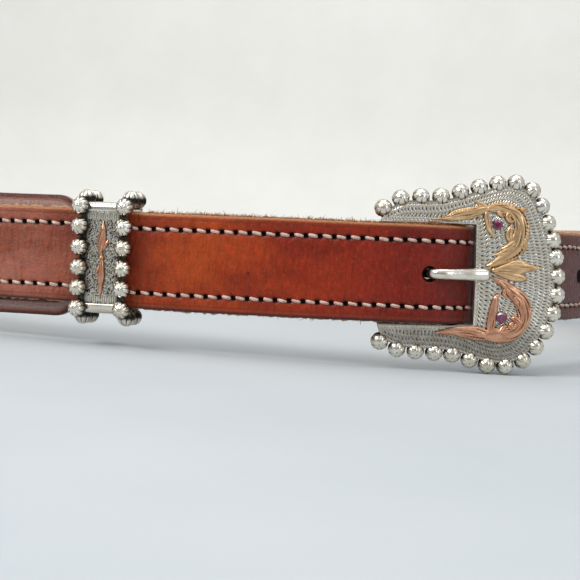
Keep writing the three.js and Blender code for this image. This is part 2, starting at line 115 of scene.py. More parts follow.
# Buckle, in its own frame: u to the right from the heel bar, v up, w outward
BAR_OFFSET = -0.4
BAR_RADIUS = 1.6
BUCKLE_HEADING = 12.5 * DEGREES
BUCKLE_ROLL = 0.8 * DEGREES
PLATE_BOTTOM = 3.3
PLATE_TOP = 5.5
PLATE_UNDER = PLATE_TOP - 0.9
WINDOW_HALF = 13.3
WINDOW_TOP, WINDOW_BOTTOM = 12.65, -12.95
WINDOW_END = 21.5
ARM_END = -3.4
PLATE_INSET = 0.9
PLATE_SECTIONS = 1080
PLATE_COLUMNS = 74
WINDOW_BEVEL = 0.45
ENGRAVED_ROW = 1.45
ENGRAVED_CUT = 0.95
STROKE_FOOT = 0.3
RIM_BEADS = 27
RIM_BEAD_RADIUS = 2.38
RIM_BEAD_HEIGHT = 4.0
RIM_LINE = [
    (-2.6, 16.5), (2.1, 19.2), (12.9, 20.0), (22.9, 22.7), (32.0, 24.1), (36.6, 22.2),
    (40.9, 14.0), (43.3, 4.7), (43.9, -5.0), (41.3, -14.6), (35.4, -22.2), (30.6, -23.7),
    (25.2, -23.3), (16.6, -20.9), (8.0, -20.3), (2.6, -19.9), (-2.5, -17.9),
]
# How far each bead lies on along the rim from its even place
RIM_BEAD_SHIFT = [(-1, 0), (0, 0), (5, 1.5), (9, 1.3), (12, 0.5), (20, 0.3), (23, 0), (26, 0), (27, 0)]
# Lugs at both ends of the heel bar: sections with columns v and inset, and their sides
LUG_SECTIONS = [(13.3, 0.25), (13.5, 0.0), (16.0, 0.0), (16.2, 0.25)]
LUG_LEFT, LUG_RIGHT, LUG_LOW = -1.9, 2.4, -1.6
# Stones, with columns u, v and radius, and the grains that stand round each
STONES = [(27.2, 13.0, 1.3), (29.1, -11.0, 1.5)]
GRAIN_RADIUS = 0.3
GRAIN_REACH = 0.32

# Prong: its underside, with columns u, w, half width and thickness, and the radii of its loop
PRONG_LINE = [
    (2.3, -0.9, 1.5, 1.9), (5.0, 0.2, 1.3, 1.6), (8.5, 2.5, 1.1, 1.3), (9.6, 6.0, 1.15, 1.3),
    (10.7, 8.5, 1.3, 1.5), (12.6, 8.8, 1.4, 1.7), (16.6, 7.8, 1.5, 1.7), (21.2, 6.2, 1.6, 1.7),
    (24.7, 5.8, 1.5, 1.5), (25.5, 5.8, 1.1, 1.2), (25.7, 5.9, 0.6, 0.8),
]
PRONG_LOOP = (1.9, 3.4)
PRONG_HALF = 1.65

# Keeper, in a frame like the buckle's
KEEPER_AT = -74
KEEPER_UP = 0.4
BAND_HALF = 6.3
BAND_THICK = 1.2
KEEPER_BACK, KEEPER_FRONT, KEEPER_HALF = -3.0, 7.6, 13.45
KEEPER_CORNER = 1.6
KEEPER_BEAD_RADIUS = 2.4
KEEPER_BEAD_ROW = 6.1
KEEPER_BEAD_PITCH = 5.35
KEEPER_BEAD_LIFT = 0.9
KEEPER_SIDE_BEADS = [4.9, -0.4]
KEEPER_SECTIONS = 560


# Places on the loop

def arc_chord(heading, turn):
    """The way from the start to the end of an arc of radius 1."""
    end = heading + turn
    return np.stack([np.sin(end) - np.sin(heading), np.cos(heading) - np.cos(end)])


def closed_arcs():
    """The arcs of the loop, with the radii of the back and the left side that close it."""
    turns = np.array(ARC_TURNS) * DEGREES
    starts = BAR_HEADING * DEGREES + np.concatenate([[0], np.cumsum(turns)[:-1]])
    chords = [arc_chord(start, turn) for start, turn in zip(starts, turns)]
    radii = np.array(ARC_RADII, float)
    open_end = sum(radius * chord for radius, chord in zip(radii, chords))
    solved = np.linalg.solve(np.stack([chords[BACK_ARC], chords[LEFT_ARC]], axis=1), -open_end)
    radii[BACK_ARC], radii[LEFT_ARC] = solved
    return list(zip(radii, turns))


ARCS = closed_arcs()
WAIST_LENGTH = sum(radius * turn for radius, turn in ARCS)


def waist(s):
    """Points of the inner face and its heading at lengths s from the heel bar."""
    rest = np.asarray(s, float) % WAIST_LENGTH
    heading = np.full_like(rest, BAR_HEADING * DEGREES)
    at = np.zeros((2,) + rest.shape)
    for radius, turn in ARCS:
        step = np.clip(rest, 0, radius * turn)
        at = at + radius * arc_chord(heading, step / radius)
        heading = heading + step / radius
        rest = rest - step
    return at[0], at[1], heading


def place(s, n):
    x, y, heading = waist(s)
    return np.stack([x + n * np.sin(heading), y - n * np.cos(heading)], axis=-1)


def look_up(rows, s):
    """Smooth value of a table of places and values."""
    table = np.array(rows, float)
    at, value = table[:, 0], table[:, 1]
    slope = np.zeros(len(at))
    slope[1:-1] = (value[2:] - value[:-2]) / (at[2:] - at[:-2])
    s = np.asarray(s, float)
    i = np.clip(np.searchsorted(at, s) - 1, 0, len(at) - 2)
    span = at[i + 1] - at[i]
    t = np.clip((s - at[i]) / span, 0, 1)
    start = (2 * t**3 - 3 * t**2 + 1) * value[i] + (t**3 - 2 * t**2 + t) * span * slope[i]
    return start + (3 * t**2 - 2 * t**3) * value[i + 1] + (t**3 - t**2) * span * slope[i + 1]


def steps(start, end, count):
    return np.linspace(start, end, count + 1)


def round_steps(count):
    """Angles in even steps once round."""
    return steps(0, 2 * math.pi, count)[:-1]


def part_way(value, start, end):
    """How far a value has come from start to end, held between 0 and 1."""
    return np.clip((value - start) / (end - start), 0, 1)


def lengths(line):
    """The length along a line of points up to each of them."""
    return np.concatenate([[0], np.cumsum(np.linalg.norm(np.diff(line, axis=0), axis=1))])


def directions(line):
    """Unit vectors along a line of points."""
    run = np.gradient(line, axis=0)
    return run / np.linalg.norm(run, axis=1)[:, None]


def left_of(run):
    """The same flat vectors, a quarter turn to the left."""
    return np.stack([-run[:, 1], run[:, 0]], axis=-1)


def read_off(at, known, table):
    """The columns of a table at places between its rows."""
    return np.stack([np.interp(at, known, column) for column in table.T], axis=-1)


def grid(x, y, z):
    """Points from coordinates that are spread over the same rows and columns."""
    return np.stack(np.broadcast_arrays(x, y, z), axis=-1)


def smooth_curve(points, step):
    """A centripetal spline through rows of numbers, resampled in even steps of its length."""
    table = np.array(points, float)
    table = np.vstack([2 * table[0] - table[1], table, 2 * table[-1] - table[-2]])
    knots = np.linalg.norm(np.diff(table[:, :2], axis=0), axis=1) ** 0.5
    pieces = []
    for i in range(1, len(table) - 2):
        p0, p1, p2, p3 = table[i - 1:i + 3]
        d1, d2, d3 = np.maximum(knots[i - 1:i + 2], 1e-6)
        t = np.linspace(0, 1, 24, endpoint=False)[:, None]
        m1 = ((p1 - p0) / d1 - (p2 - p0) / (d1 + d2) + (p2 - p1) / d2) * d2
        m2 = ((p2 - p1) / d2 - (p3 - p1) / (d2 + d3) + (p3 - p2) / d3) * d2
        near = (2 * t**3 - 3 * t**2 + 1) * p1 + (t**3 - 2 * t**2 + t) * m1
        pieces.append(near + (3 * t**2 - 2 * t**3) * p2 + (t**3 - t**2) * m2)
    line = np.vstack(pieces + [table[-2:-1]])
    length = lengths(line[:, :2])
    return read_off(steps(0, length[-1], max(4, int(round(length[-1] / step)))), length, line)


# Frames: millimetres in a frame of the belt to metres in the model

def turn_matrix(axis, angle):
    return np.array(Matrix.Rotation(angle, 4, Vector(axis)))


def frame_matrix(s, n, heading, roll=0.0, up=0.0):
    """Axes to the right, up and outward at a place on the loop."""
    origin = place(s, n)
    matrix = np.eye(4)
    matrix[:3, 0] = (math.cos(heading), math.sin(heading), 0)
    matrix[:3, 1] = (0, 0, 1)
    matrix[:3, 2] = (math.sin(heading), -math.cos(heading), 0)
    matrix[:3, 3] = (origin[0], origin[1], up)
    return matrix @ turn_matrix((0, 0, 1), roll)


def loop_matrix():
    """Leans the loop back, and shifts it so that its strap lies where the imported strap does."""
    lean = turn_matrix((-math.sin(LEAN_HEADING), math.cos(LEAN_HEADING), 0), LEAN)
    strap = np.array([v.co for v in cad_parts["belt_strap"].data.vertices]) * 1000
    upright = strap @ lean[:3, :3]
    outline = place(np.linspace(0, WAIST_LENGTH, 4000), TOP_INNER + TOP_THICK)
    billet = place(np.linspace(-110, 0, 400), BILLET_RISE[0][1] + TOP_INNER + TOP_THICK)
    low = np.array([outline[:, 0].min(), min(billet[:, 1].min(), outline[:, 1].min()), -WIDE_HALF])
    high = np.array([outline[:, 0].max(), outline[:, 1].max(), WIDE_HALF])
    shift = (upright.min(0) + upright.max(0)) / 2 - (low + high) / 2
    lean[:3, 3] = lean[:3, :3] @ shift
    return lean


LOOP = loop_matrix()
BUCKLE = LOOP @ frame_matrix(0, BAR_OFFSET, BUCKLE_HEADING, roll=BUCKLE_ROLL)
KEEPER = LOOP @ frame_matrix(KEEPER_AT, 0, float(waist(KEEPER_AT)[2]), up=KEEPER_UP)


def to_model(points, matrix):
    points = np.asarray(points, float).reshape(-1, 3)
    return (points @ matrix[:3, :3].T + matrix[:3, 3]) / 1000


# Meshes

class Pile:
    """Closed bodies gathered into one mesh, with named values on their points."""

    def __init__(self):
        self.points = []
        self.faces = []
        self.values = {}
        self.count = 0

    def add(self, points, faces, **values):
        points = np.asarray(points, float).reshape(-1, 3)
        self.points.append(points)
        self.faces.extend((np.asarray(face) + self.count).tolist() for face in faces)
        for name, value in values.items():
            value = np.asarray(value, float)
            width = value.shape[-1] if value.ndim == 3 or name == "place" else 1
            self.values.setdefault(name, []).append((self.count, value.reshape(-1, width)))
        self.count += len(points)

    def build(self, name, matrix, material, smooth=True):
        mesh = bpy.data.meshes.new(name)
        mesh.from_pydata(to_model(np.vstack(self.points), matrix).tolist(), [], self.faces)
        for key, parts in self.values.items():
            width = parts[0][1].shape[-1]
            kind, slot = ("FLOAT_VECTOR", "vector") if width == 3 else ("FLOAT", "value")
            data = np.zeros((self.count, width))
            for start, part in parts:
                data[start:start + len(part)] = part
            layer = mesh.attributes.new(key, kind, "POINT")
            layer.data.foreach_set(slot, data.ravel().astype(np.float32))
        build = bmesh.new()
        build.from_mesh(mesh)
        bmesh.ops.recalc_face_normals(build, faces=build.faces)
        build.to_mesh(mesh)
        build.free()
        mesh.polygons.foreach_set("use_smooth", [smooth] * len(mesh.polygons))
        mesh.materials.append(material)
        piece = bpy.data.objects.new(name, mesh)
        bpy.context.scene.collection.objects.link(piece)
        return piece


def tube_faces(rows, columns, closed=False):
    """Faces of a grid whose columns run round, with a face over each end unless it is closed."""
    faces = []
    last = rows if closed else rows - 1
    for i in range(last):
        a = i * columns
        b = ((i + 1) % rows) * columns
        faces.extend([a + j, a + (j + 1) % columns, b + (j + 1) % columns, b + j] for j in range(columns))
    if not closed:
        faces.append(list(range(columns)))
        faces.append(list(range((rows - 1) * columns, rows * columns)))
    return faces


def many_tubes(pile, rings, **values):
    """Adds tubes given as an array of tube, ring, side and point."""
    tubes, rows, columns = rings.shape[:3]
    one = tube_faces(rows, columns)
    for i in range(tubes):
        own = {key: value[i] for key, value in values.items()}
        pile.add(rings[i], one, **own)


def layer_array(mesh, layer):
    width, slot = (3, "vector") if layer.data_type == "FLOAT_VECTOR" else (1, "value")
    data = np.zeros(len(mesh.vertices) * width, np.float32)
    layer.data.foreach_get(slot, data)
    return data.reshape(-1, width), slot


def keep_values(before, after, names):
    """Gives the points of a cut mesh the values that the whole mesh has at the same places."""
    tree = BVHTree.FromPolygons([v.co for v in before.vertices], [p.vertices[:] for p in before.polygons])
    old = {name: layer_array(before, before.attributes[name])[0] for name in names}
    new = {name: np.zeros((len(after.vertices), old[name].shape[1]), np.float32) for name in names}
    for i, vertex in enumerate(after.vertices):
        spot, _, face, _ = tree.find_nearest(vertex.co)
        corners = list(before.polygons[face].vertices)
        weights = poly_3d_calc([before.vertices[c].co for c in corners], spot)
        for name in names:
            new[name][i] = np.dot(weights, old[name][corners])
    for name in names:
        layer = after.attributes[name]
        _, slot = layer_array(after, layer)
        layer.data.foreach_set(slot, new[name].ravel())


def cut(piece, cutters, names):
    """Cuts closed shapes out of a piece and removes them. The new walls get the cutter's material."""
    for cutter in cutters:
        modifier = piece.modifiers.new("cut", "BOOLEAN")
        modifier.operation = "DIFFERENCE"
        modifier.solver = "EXACT"
        modifier.material_mode = "TRANSFER"
        modifier.object = cutter
    bpy.context.view_layer.update()
    graph = bpy.context.evaluated_depsgraph_get()
    mesh = bpy.data.meshes.new_from_object(piece.evaluated_get(graph))
    keep_values(piece.data, mesh, names)
    mesh.set_sharp_from_angle(angle=SHARP_ANGLE)
    piece.modifiers.clear()
    piece.data = mesh
    for cutter in cutters:
        bpy.data.objects.remove(cutter)


# Leather bands

class Band:
    """A leather band along a row of stations, its grain side on the left of the way it runs."""

    def __init__(self, s, n, half, up, thick):
        self.s = np.asarray(s, float)
        self.half = np.asarray(half, float)
        self.up = np.asarray(up, float)
        self.row = ROW_INSET + ROW_WIDE_STEP * np.clip(self.half - NARROW_HALF, 0, None)
        self.thick = thick
        self.line = place(self.s, n)
        self.out = left_of(directions(self.line))
        self.length = lengths(self.line + thick * self.out)

    def section(self, out, z):
        """Points at each station, for arrays of station and column."""
        flat = self.line[:, None, :] + out[..., None] * self.out[:, None, :]
        return np.concatenate([flat, z[..., None]], axis=-1)

    def at(self, length, out, inset, edge):
        """Points at lengths along the grain, at a distance in from an edge."""
        line = read_off(length, self.length, self.line)
        normal = read_off(length, self.length, self.out)
        z = np.interp(length, self.length, self.up)
        z = z + edge * (np.interp(length, self.length, self.half) - inset)
        return np.concatenate([line + np.asarray(out)[..., None] * normal, z[..., None]], axis=-1), normal

    def length_at(self, s):
        """The length at a place of the loop, where the band passes it for the last time."""
        stations = np.where(np.abs(self.s - s) < 2.0)[0]
        return self.length[stations[-1]]

    def taper_length(self):
        """The length at which the band gets too narrow for its rows of stitches."""
        return self.length[np.where(self.half > 9.5)[0][-1]]


def shoulder_half(s, shoulder):
    return NARROW_HALF + (WIDE_HALF - NARROW_HALF) * np.sin(part_way(s, *shoulder) * math.pi / 2)


def body_stations(start, spacing):
    """The chape and the wide body, leftward from the buckle right round to the billet."""
    right_end = RIGHT_SHOULDER[1] - WAIST_LENGTH
    right_start = RIGHT_SHOULDER[0] - WAIST_LENGTH
    s = np.concatenate([
        steps(start, LEFT_SHOULDER[0], int(CHAPE_LENGTH / spacing))[:-1],
        steps(LEFT_SHOULDER[0], LEFT_SHOULDER[1], 14)[:-1],
        steps(LEFT_SHOULDER[1], SEEN_BODY_END, int((LEFT_SHOULDER[1] - SEEN_BODY_END) / 0.45))[:-1],
        steps(SEEN_BODY_END, right_end, int(UNSEEN_BODY_LENGTH / spacing))[:-1],
        steps(right_end, right_start, 12),
    ])
    left = shoulder_half(s, LEFT_SHOULDER)
    right = shoulder_half(s + WAIST_LENGTH, RIGHT_SHOULDER)
    return s, np.where(s > LEFT_SHOULDER[1], left, right) + look_up(BODY_WIDER, s)


def billet_stations(spacing, fine):
    """The billet from the right shoulder to its tip, closest together where it bends sharply."""
    taper_start = BILLET_TIP + TIP_TAPER
    bend_start, bend_end = BILLET_BEND
    s = np.concatenate([
        steps(RIGHT_SHOULDER[0], bend_start, int((RIGHT_SHOULDER[0] - bend_start) / spacing))[1:-1],
        steps(bend_start, bend_end, int((bend_start - bend_end) / (0.5 * fine)))[:-1],
        steps(bend_end, taper_start, int((bend_end - taper_start) / fine))[:-1],
        steps(taper_start, BILLET_TIP + 0.4, 40),
    ])
    half = look_up(BILLET_HALF, s) * (1 - part_way(s, taper_start, BILLET_TIP) ** 2.2) ** 0.6
    return s, look_up(BILLET_RISE, s), half, look_up(BILLET_UP, s)


def top_band():
    """The top leather from the chape's end round the bar and the waist to the billet's tip."""
    back = steps(CHAPE_RETURN_END, -1.5, 80)
    angle = steps(-90, 90, 16) * DEGREES
    body, body_half = body_stations(-3, 1.2)
    billet, rise, billet_half, billet_up = billet_stations(1.2, 0.42)
    s = np.concatenate([back, FOLD_RADIUS * np.cos(angle), body, billet])
    n = np.concatenate([
        look_up(RETURN_RISE, back),
        BAR_OFFSET + FOLD_RADIUS * np.sin(angle),
        np.full_like(body, TOP_INNER),
        rise + TOP_INNER,
    ])
    narrow = np.full(len(back) + len(angle), NARROW_HALF)
    half = np.concatenate([narrow, body_half, billet_half])
    up = np.concatenate([np.zeros(len(narrow)), look_up(BODY_UP, body), billet_up])
    part = np.concatenate([np.zeros(len(narrow) + len(body)), np.ones(len(billet))])
    return Band(s, n, half, up, TOP_THICK), part, len(narrow)


def lining_band():
    """The lining behind the body and the billet, with a ragged edge along the billet."""
    body, body_half = body_stations(LINING_CHAPE_END, 1.6)
    billet, rise, billet_half, billet_up = billet_stations(1.6, 0.8)
    ragged = 0.28 + random.normal(0, 0.13, len(billet)) + 0.5 * ripple(billet, 5, 1.1, 0.16)
    billet_half = billet_half + np.clip(ragged, 0.02, 0.6)
    s = np.concatenate([body, billet])
    n = np.concatenate([np.zeros(len(body)), rise])
    half = np.concatenate([body_half, billet_half])
    up = np.concatenate([look_up(BODY_UP, body), billet_up])
    return Band(s, n, half, up, LINING_THICK)


def ripple(length, seed, scale, size):
    """A slow random wave along a length."""
    phase = np.random.default_rng(seed).uniform(0, 2 * math.pi, 5)
    waves = [np.sin(length / (scale * 0.55**k) + phase[k]) * 0.6**k for k in range(5)]
    return size * sum(waves) / 2


def grain_relief(length, inset, row, row_mask):
    """Height over the plain grain side, and how deep in a stitch hole each point lies, which also marks the
    painted shade in the holes.
    """
    across = inset - row
    along = (length + STITCH_PITCH / 2) % STITCH_PITCH - STITCH_PITCH / 2
    channel = np.exp(-(across / 0.62) ** 2) * row_mask
    hole = np.exp(-(across / 0.66) ** 2 - (along / 0.78) ** 2) * row_mask
    pucker = np.exp(-((np.abs(across) - 0.95) / 0.4) ** 2) * np.cos(2 * math.pi * length / STITCH_PITCH)
    crease = np.exp(-((inset - 1.5) / 0.22) ** 2)
    crown = -0.16 * np.exp(-(inset / 1.3) ** 2)
    height = -0.17 * channel - 0.55 * hole - 0.05 * pucker * row_mask - 0.07 * crease + crown
    return height, hole


def leather_body(band, part, insets, relief_from):
    """A band with rounded edges, a stitch channel along both edges and its stitch holes."""
    rows = len(band.s)
    half = band.half[:, None]
    scale = np.minimum(1, half / 10.6)
    insets = np.array(insets)
    edge = np.repeat([-1, 0, 1], [len(insets), 1, len(insets)])
    inset = np.concatenate([insets, [0], insets[::-1]]) * scale
    length = band.length[:, None] + 0 * inset
    row_mask = np.where(np.arange(rows)[:, None] >= relief_from, 1.0, 0.0) * (half > 9)
    height, well = grain_relief(length, np.where(edge == 0, 9.0, inset), band.row[:, None], row_mask)
    near = np.clip(EDGE_ROUND - inset, 0, EDGE_ROUND)
    rounding = EDGE_ROUND - np.sqrt(np.maximum(EDGE_ROUND**2 - near**2, 0))
    wave = ripple(band.length, 3, 9.0, 0.05)[:, None]
    out_grain = band.thick + height - np.where(edge == 0, 0, rounding)
    z_grain = band.up[:, None] + edge * (half + wave * (inset < 1.4) - inset)
    back = np.array(BACK_HALF + [(0, 0)] + BACK_HALF[::-1])
    under_inset, under = back.T
    side = np.repeat([1, 0, -1], [len(BACK_HALF), 1, len(BACK_HALF)])
    out_under = under * (band.thick - EDGE_ROUND) + 0 * half
    z_under = band.up[:, None] + side * (half - under_inset * scale + wave * (under_inset < 1))
    out = np.concatenate([out_grain, out_under], axis=1)
    z = np.concatenate([z_grain, z_under], axis=1)
    spare = np.zeros((rows, len(under)))
    depth = np.concatenate([np.where(edge == 0, 9.0, inset), spare], axis=1)
    flesh = np.concatenate([0 * inset, spare + (under < 0.5)], axis=1)
    pile = Pile()
    pile.add(
        band.section(out, z), tube_faces(*out.shape), place=grid(band.length[:, None], z, part[:, None]),
        inset=depth, flesh=flesh, well=np.concatenate([well, spare], axis=1),
    )
    return pile


def shape_cutter(name, points, matrix, wall):
    pile = Pile()
    pile.add(points, tube_faces(*points.shape[:2]))
    return pile.build(name, matrix, wall)


def hole_matrix(s):
    return LOOP @ frame_matrix(s, float(look_up(BILLET_RISE, s)), float(waist(s)[2]))


def hole_cutters(wall, first_radius):
    """The punches through the billet, the first of which has a radius of its own."""
    cutters = []
    turn = round_steps(28)
    ends = np.array([[-PUNCH_PAST], [TOP_INNER + TOP_THICK + PUNCH_PAST]])
    for i, s in enumerate(HOLE_PLACES):
        radius = HOLE_RADIUS if i else first_radius
        rings = grid(radius * np.cos(turn), radius * np.sin(turn), ends)
        cutters.append(shape_cutter("punch_%d" % i, rings, hole_matrix(s), wall))
    return cutters


def shade_round_holes(piece):
    """Paints shade on the inner side of the lining close round its holes, so that they look dark inside."""
    layer = piece.data.attributes["well"]
    spots = [Vector(hole_matrix(s)[:3, 3]) for s in HOLE_PLACES]
    for vertex, value in zip(piece.data.vertices, layer.data):
        if min((vertex.co * 1000 - spot).length for spot in spots) < HOLE_RADIUS + HOLE_SHADE_WIDTH:
            value.value = 1.0


def slot_cutter(wall):
    """The slot through the fold for the prong's loop."""
    left, right = SLOT_ENDS
    corners = [(left, -SLOT_HALF), (right, -SLOT_HALF), (right, SLOT_HALF), (left, SLOT_HALF)]
    points = [[(u, v, w) for u, v in corners] for w in SLOT_DEPTHS]
    matrix = LOOP @ frame_matrix(0, BAR_OFFSET, float(waist(0.0)[2]))
    return shape_cutter("slot", np.array(points), matrix, wall)


# Stitches

def stitch_row(pile, band, edge, first, last, on_grain):
    """Stitches of one row. Each dips into a hole at both ends and leans a little."""
    start = np.arange(math.ceil(first / STITCH_PITCH), int(last / STITCH_PITCH)) * STITCH_PITCH
    count = len(start)
    t = np.linspace(0, 1, 8)
    length = start[:, None] + STITCH_GAP / 2 + t[None, :] * (STITCH_PITCH - STITCH_GAP)
    rise = np.sin(math.pi * t) ** 0.55
    lift = -0.5 + 0.62 * rise[None, :] + random.uniform(-0.05, 0.05, (count, 1))
    out = (band.thick + lift) if on_grain else -lift
    drift = (t - 0.5)[None, :] * 0.42 + random.normal(0, 0.05, (count, 1))
    row = np.interp(length, band.length, band.row)
    centre, normal = band.at(length, out, row - edge * drift, edge)
    angle = round_steps(8)
    thick = THREAD_RADIUS * (0.72 + 0.28 * np.sin(math.pi * t) ** 0.6)
    thick = thick[None, :, None] * random.uniform(0.92, 1.06, (count, 1, 1))
    side = np.concatenate([normal, np.zeros(normal.shape[:2] + (1,))], axis=-1)
    outward = (thick * 0.85 * np.cos(angle))[..., None] * side[:, :, None, :]
    upward = (thick * 1.08 * np.sin(angle))[..., None] * np.array([0, 0, 1.0])
    rings = centre[:, :, None, :] + outward + upward
    where = grid(t[None, :, None] * 3 + start[:, None, None], angle, 0.0)
    many_tubes(pile, rings, place=where)


def stitches(band, first, on_grain):
    """Both rows on one side of a band, as far as the tip's taper."""
    pile = Pile()
    for edge in (-1, 1):
        stitch_row(pile, band, edge, first, band.taper_length(), on_grain)
    return pile


# Fibres along the raw edges between the two leathers, most of them along the upper one

def edge_fibres(band):
    pile = Pile()
    first, last = sorted(band.length_at(s) for s in FIBRE_ENDS)
    count = FIBRES
    length = random.uniform(first, last, count)
    clump = random.random(count) < 0.18
    length = np.where(clump, random.normal(band.length_at(FIBRE_CLUMP), 1.3, count), length)
    edge = np.where(random.random(count) < 0.74, 1.0, -1.0)
    reach = random.gamma(2.2, 0.28, count) * np.where(edge > 0, 1.0, 0.6)
    out = random.uniform(-1.3, 0.2, count)
    t = np.linspace(0, 1, 5)
    sway = random.normal(0, 0.55, (count, 1)) * t**1.5
    lean = random.normal(0.0, 0.35, (count, 1)) * t**1.3
    inset = 0.02 - reach[:, None] * (t - 0.35 * t**2)
    centre, _ = band.at(length[:, None] + sway, out[:, None] + lean, inset, edge[:, None])
    angle = round_steps(3)
    thin = FIBRE_RADIUS * (1 - 0.65 * t)
    ring = grid(np.cos(angle), np.sin(angle), 0.0)
    rings = centre[:, :, None, :] + thin[None, :, None, None] * ring
    many_tubes(pile, rings)
    return pile


# Buckle

def rim_points(count):
    """Evenly spaced points of the line through the rim beads, and its length."""
    line = smooth_curve(RIM_LINE, 0.05)
    length = lengths(line)
    return read_off(np.linspace(0, length[-1], count), length, line), length[-1]


def window_points(rim_length, total):
    """The point of the window's edge that faces each place along the rim."""
    arm = WINDOW_END - ARM_END
    match = [(0, 0), (23, arm - 2.4), (31, arm), (total / 2, arm + WINDOW_HALF)]
    match += [(total - a, 2 * arm + 2 * WINDOW_HALF - b) for a, b in match[-2::-1]]
    along = np.interp(rim_length, [a for a, _ in match], [b for _, b in match])
    path = np.array([
        (ARM_END, WINDOW_TOP), (WINDOW_END, WINDOW_TOP),
        (WINDOW_END, WINDOW_BOTTOM), (ARM_END, WINDOW_BOTTOM),
    ])
    knots = np.array([0, arm, arm + 2 * WINDOW_HALF, 2 * arm + 2 * WINDOW_HALF])
    return read_off(along, knots, path), along


def engraving(along_rim, from_rim, along_window, from_window):
    """Rows of short cuts across the rows, side by side along the rim and along the window."""
    near_rim = from_rim < from_window * 1.6
    row = np.where(near_rim, from_rim, from_window) / ENGRAVED_ROW
    along = np.where(near_rim, along_rim, along_window)
    index = np.floor(row)
    across = row - index
    lean = np.where(index % 2 < 1, 0.42, -0.42) * (across - 0.5)
    phase = along / ENGRAVED_CUT + lean + 0.5 * index
    wander = 0.08 * np.sin(along * 1.7 + index * 2.1)
    stroke = (0.5 + 0.5 * np.cos(2 * math.pi * (phase + wander))) ** 1.2
    ends = np.sin(math.pi * np.clip(across * 1.1 - 0.05, 0, 1)) ** 0.6
    return stroke * ends


def plate():
    """The engraved plate and arms, as sections from the rim to the window and back below."""
    count = PLATE_SECTIONS
    rim, total = rim_points(count)
    outer = rim - PLATE_INSET * left_of(directions(rim))
    along_rim = np.linspace(0, total, count)
    inner, along_window = window_points(along_rim, total)
    width = np.linalg.norm(inner - outer, axis=1)
    t = steps(0, 1, PLATE_COLUMNS)[None, :] * (1 - WINDOW_BEVEL / width)[:, None]
    flat = outer[:, None, :] + t[..., None] * (inner - outer)[:, None, :]
    from_rim = t * width[:, None]
    from_window = (1 - t) * width[:, None]
    stroke = engraving(along_rim[:, None], from_rim, along_window[:, None], from_window)
    fade = part_way(from_rim, 0.5, 0.8) * part_way(from_window, 0.9, 1.2)
    fade = fade * part_way(np.minimum(along_rim, total - along_rim), 0, 0.8)[:, None]
    face = PLATE_TOP - 0.16
    top_w = face + 0.1 * np.sin(math.pi * np.clip(t, 0, 1)) - 0.2 * stroke * fade
    edge = np.array([(WINDOW_BEVEL, 0.06), (0.15, 0.28), (0.0, 0.6), (0.0, 2.2)])
    share = 1 - edge[None, :, 0] / width[:, None]
    rim_uv = outer[:, None, :] + share[..., None] * (inner - outer)[:, None, :]
    edge_w = face - edge[None, :, 1] + 0 * share
    edge_w[:, -1] = PLATE_BOTTOM
    under = np.stack([outer, outer], axis=1)
    under_w = np.stack([np.full(count, PLATE_BOTTOM), np.full(count, PLATE_UNDER)], axis=1)
    uv = np.concatenate([flat, rim_uv, under], axis=1)
    w = np.concatenate([top_w, edge_w, under_w], axis=1)
    points = np.concatenate([uv, w[..., None]], axis=-1)
    # Painted shade beside the rim beads, and on the field, painted darker still toward the lower arm
    shadow = part_way(from_rim, 1.1, 0.2) * 0.6
    field = part_way(from_rim, 0.3, 0.7) * part_way(from_window, 0.6, 0.9)
    field = field * (0.36 + 0.2 * part_way(flat[..., 1], -12.5, -16.5))
    cuts = np.maximum(np.maximum(0.85 * stroke * fade, shadow), field)
    dark = np.concatenate([cuts, np.zeros((count, 1)), np.full((count, 5), 0.6)], axis=1)
    pile = Pile()
    pile.add(points, tube_faces(count, w.shape[1]), dark=dark)
    return pile


def ball(down, around):
    """Points of a ball of radius 1, at angles from its crown and round it."""
    down = down[:, None]
    return grid(np.sin(down) * np.cos(around), np.sin(down) * np.sin(around), np.cos(down))


def fluted_bead(pile, centre, radius, axis, flutes, turn, depth, start):
    """A round bead with narrow grooves that run down from near its crown."""
    around = round_steps(flutes * 6)
    down = np.concatenate([[0.001, 0.12], steps(0.22, 1.5, 9)[:-1], steps(1.5, math.pi - 0.001, 7)])
    groove = (0.5 + 0.5 * np.cos(flutes * around[None, :])) ** 6
    reach = (part_way(down, start, start + 0.3) * np.clip(np.sin(down), 0.2, 1))[:, None]
    pit = np.exp(-(down / 0.1) ** 2)[:, None] * (start < 0.1)
    size = radius * (1 - depth * groove * reach - 0.4 * depth * pit)
    local = size[..., None] * ball(down, around + turn)
    facing = np.array(Vector(axis).normalized().to_track_quat("Z", "Y").to_matrix())
    points = local @ facing.T + np.array(centre)
    # Tarnish and painted shade round the base of the bead, where it meets what it stands on
    low = (part_way(down, 1.05, 1.55) * (1 - 0.75 * part_way(down, 1.9, 2.3)))[:, None]
    dark = np.maximum(np.maximum(0.95 * groove * reach, 0.8 * pit), 0.9 * low)
    pile.add(points, tube_faces(len(down), len(around)), dark=dark)


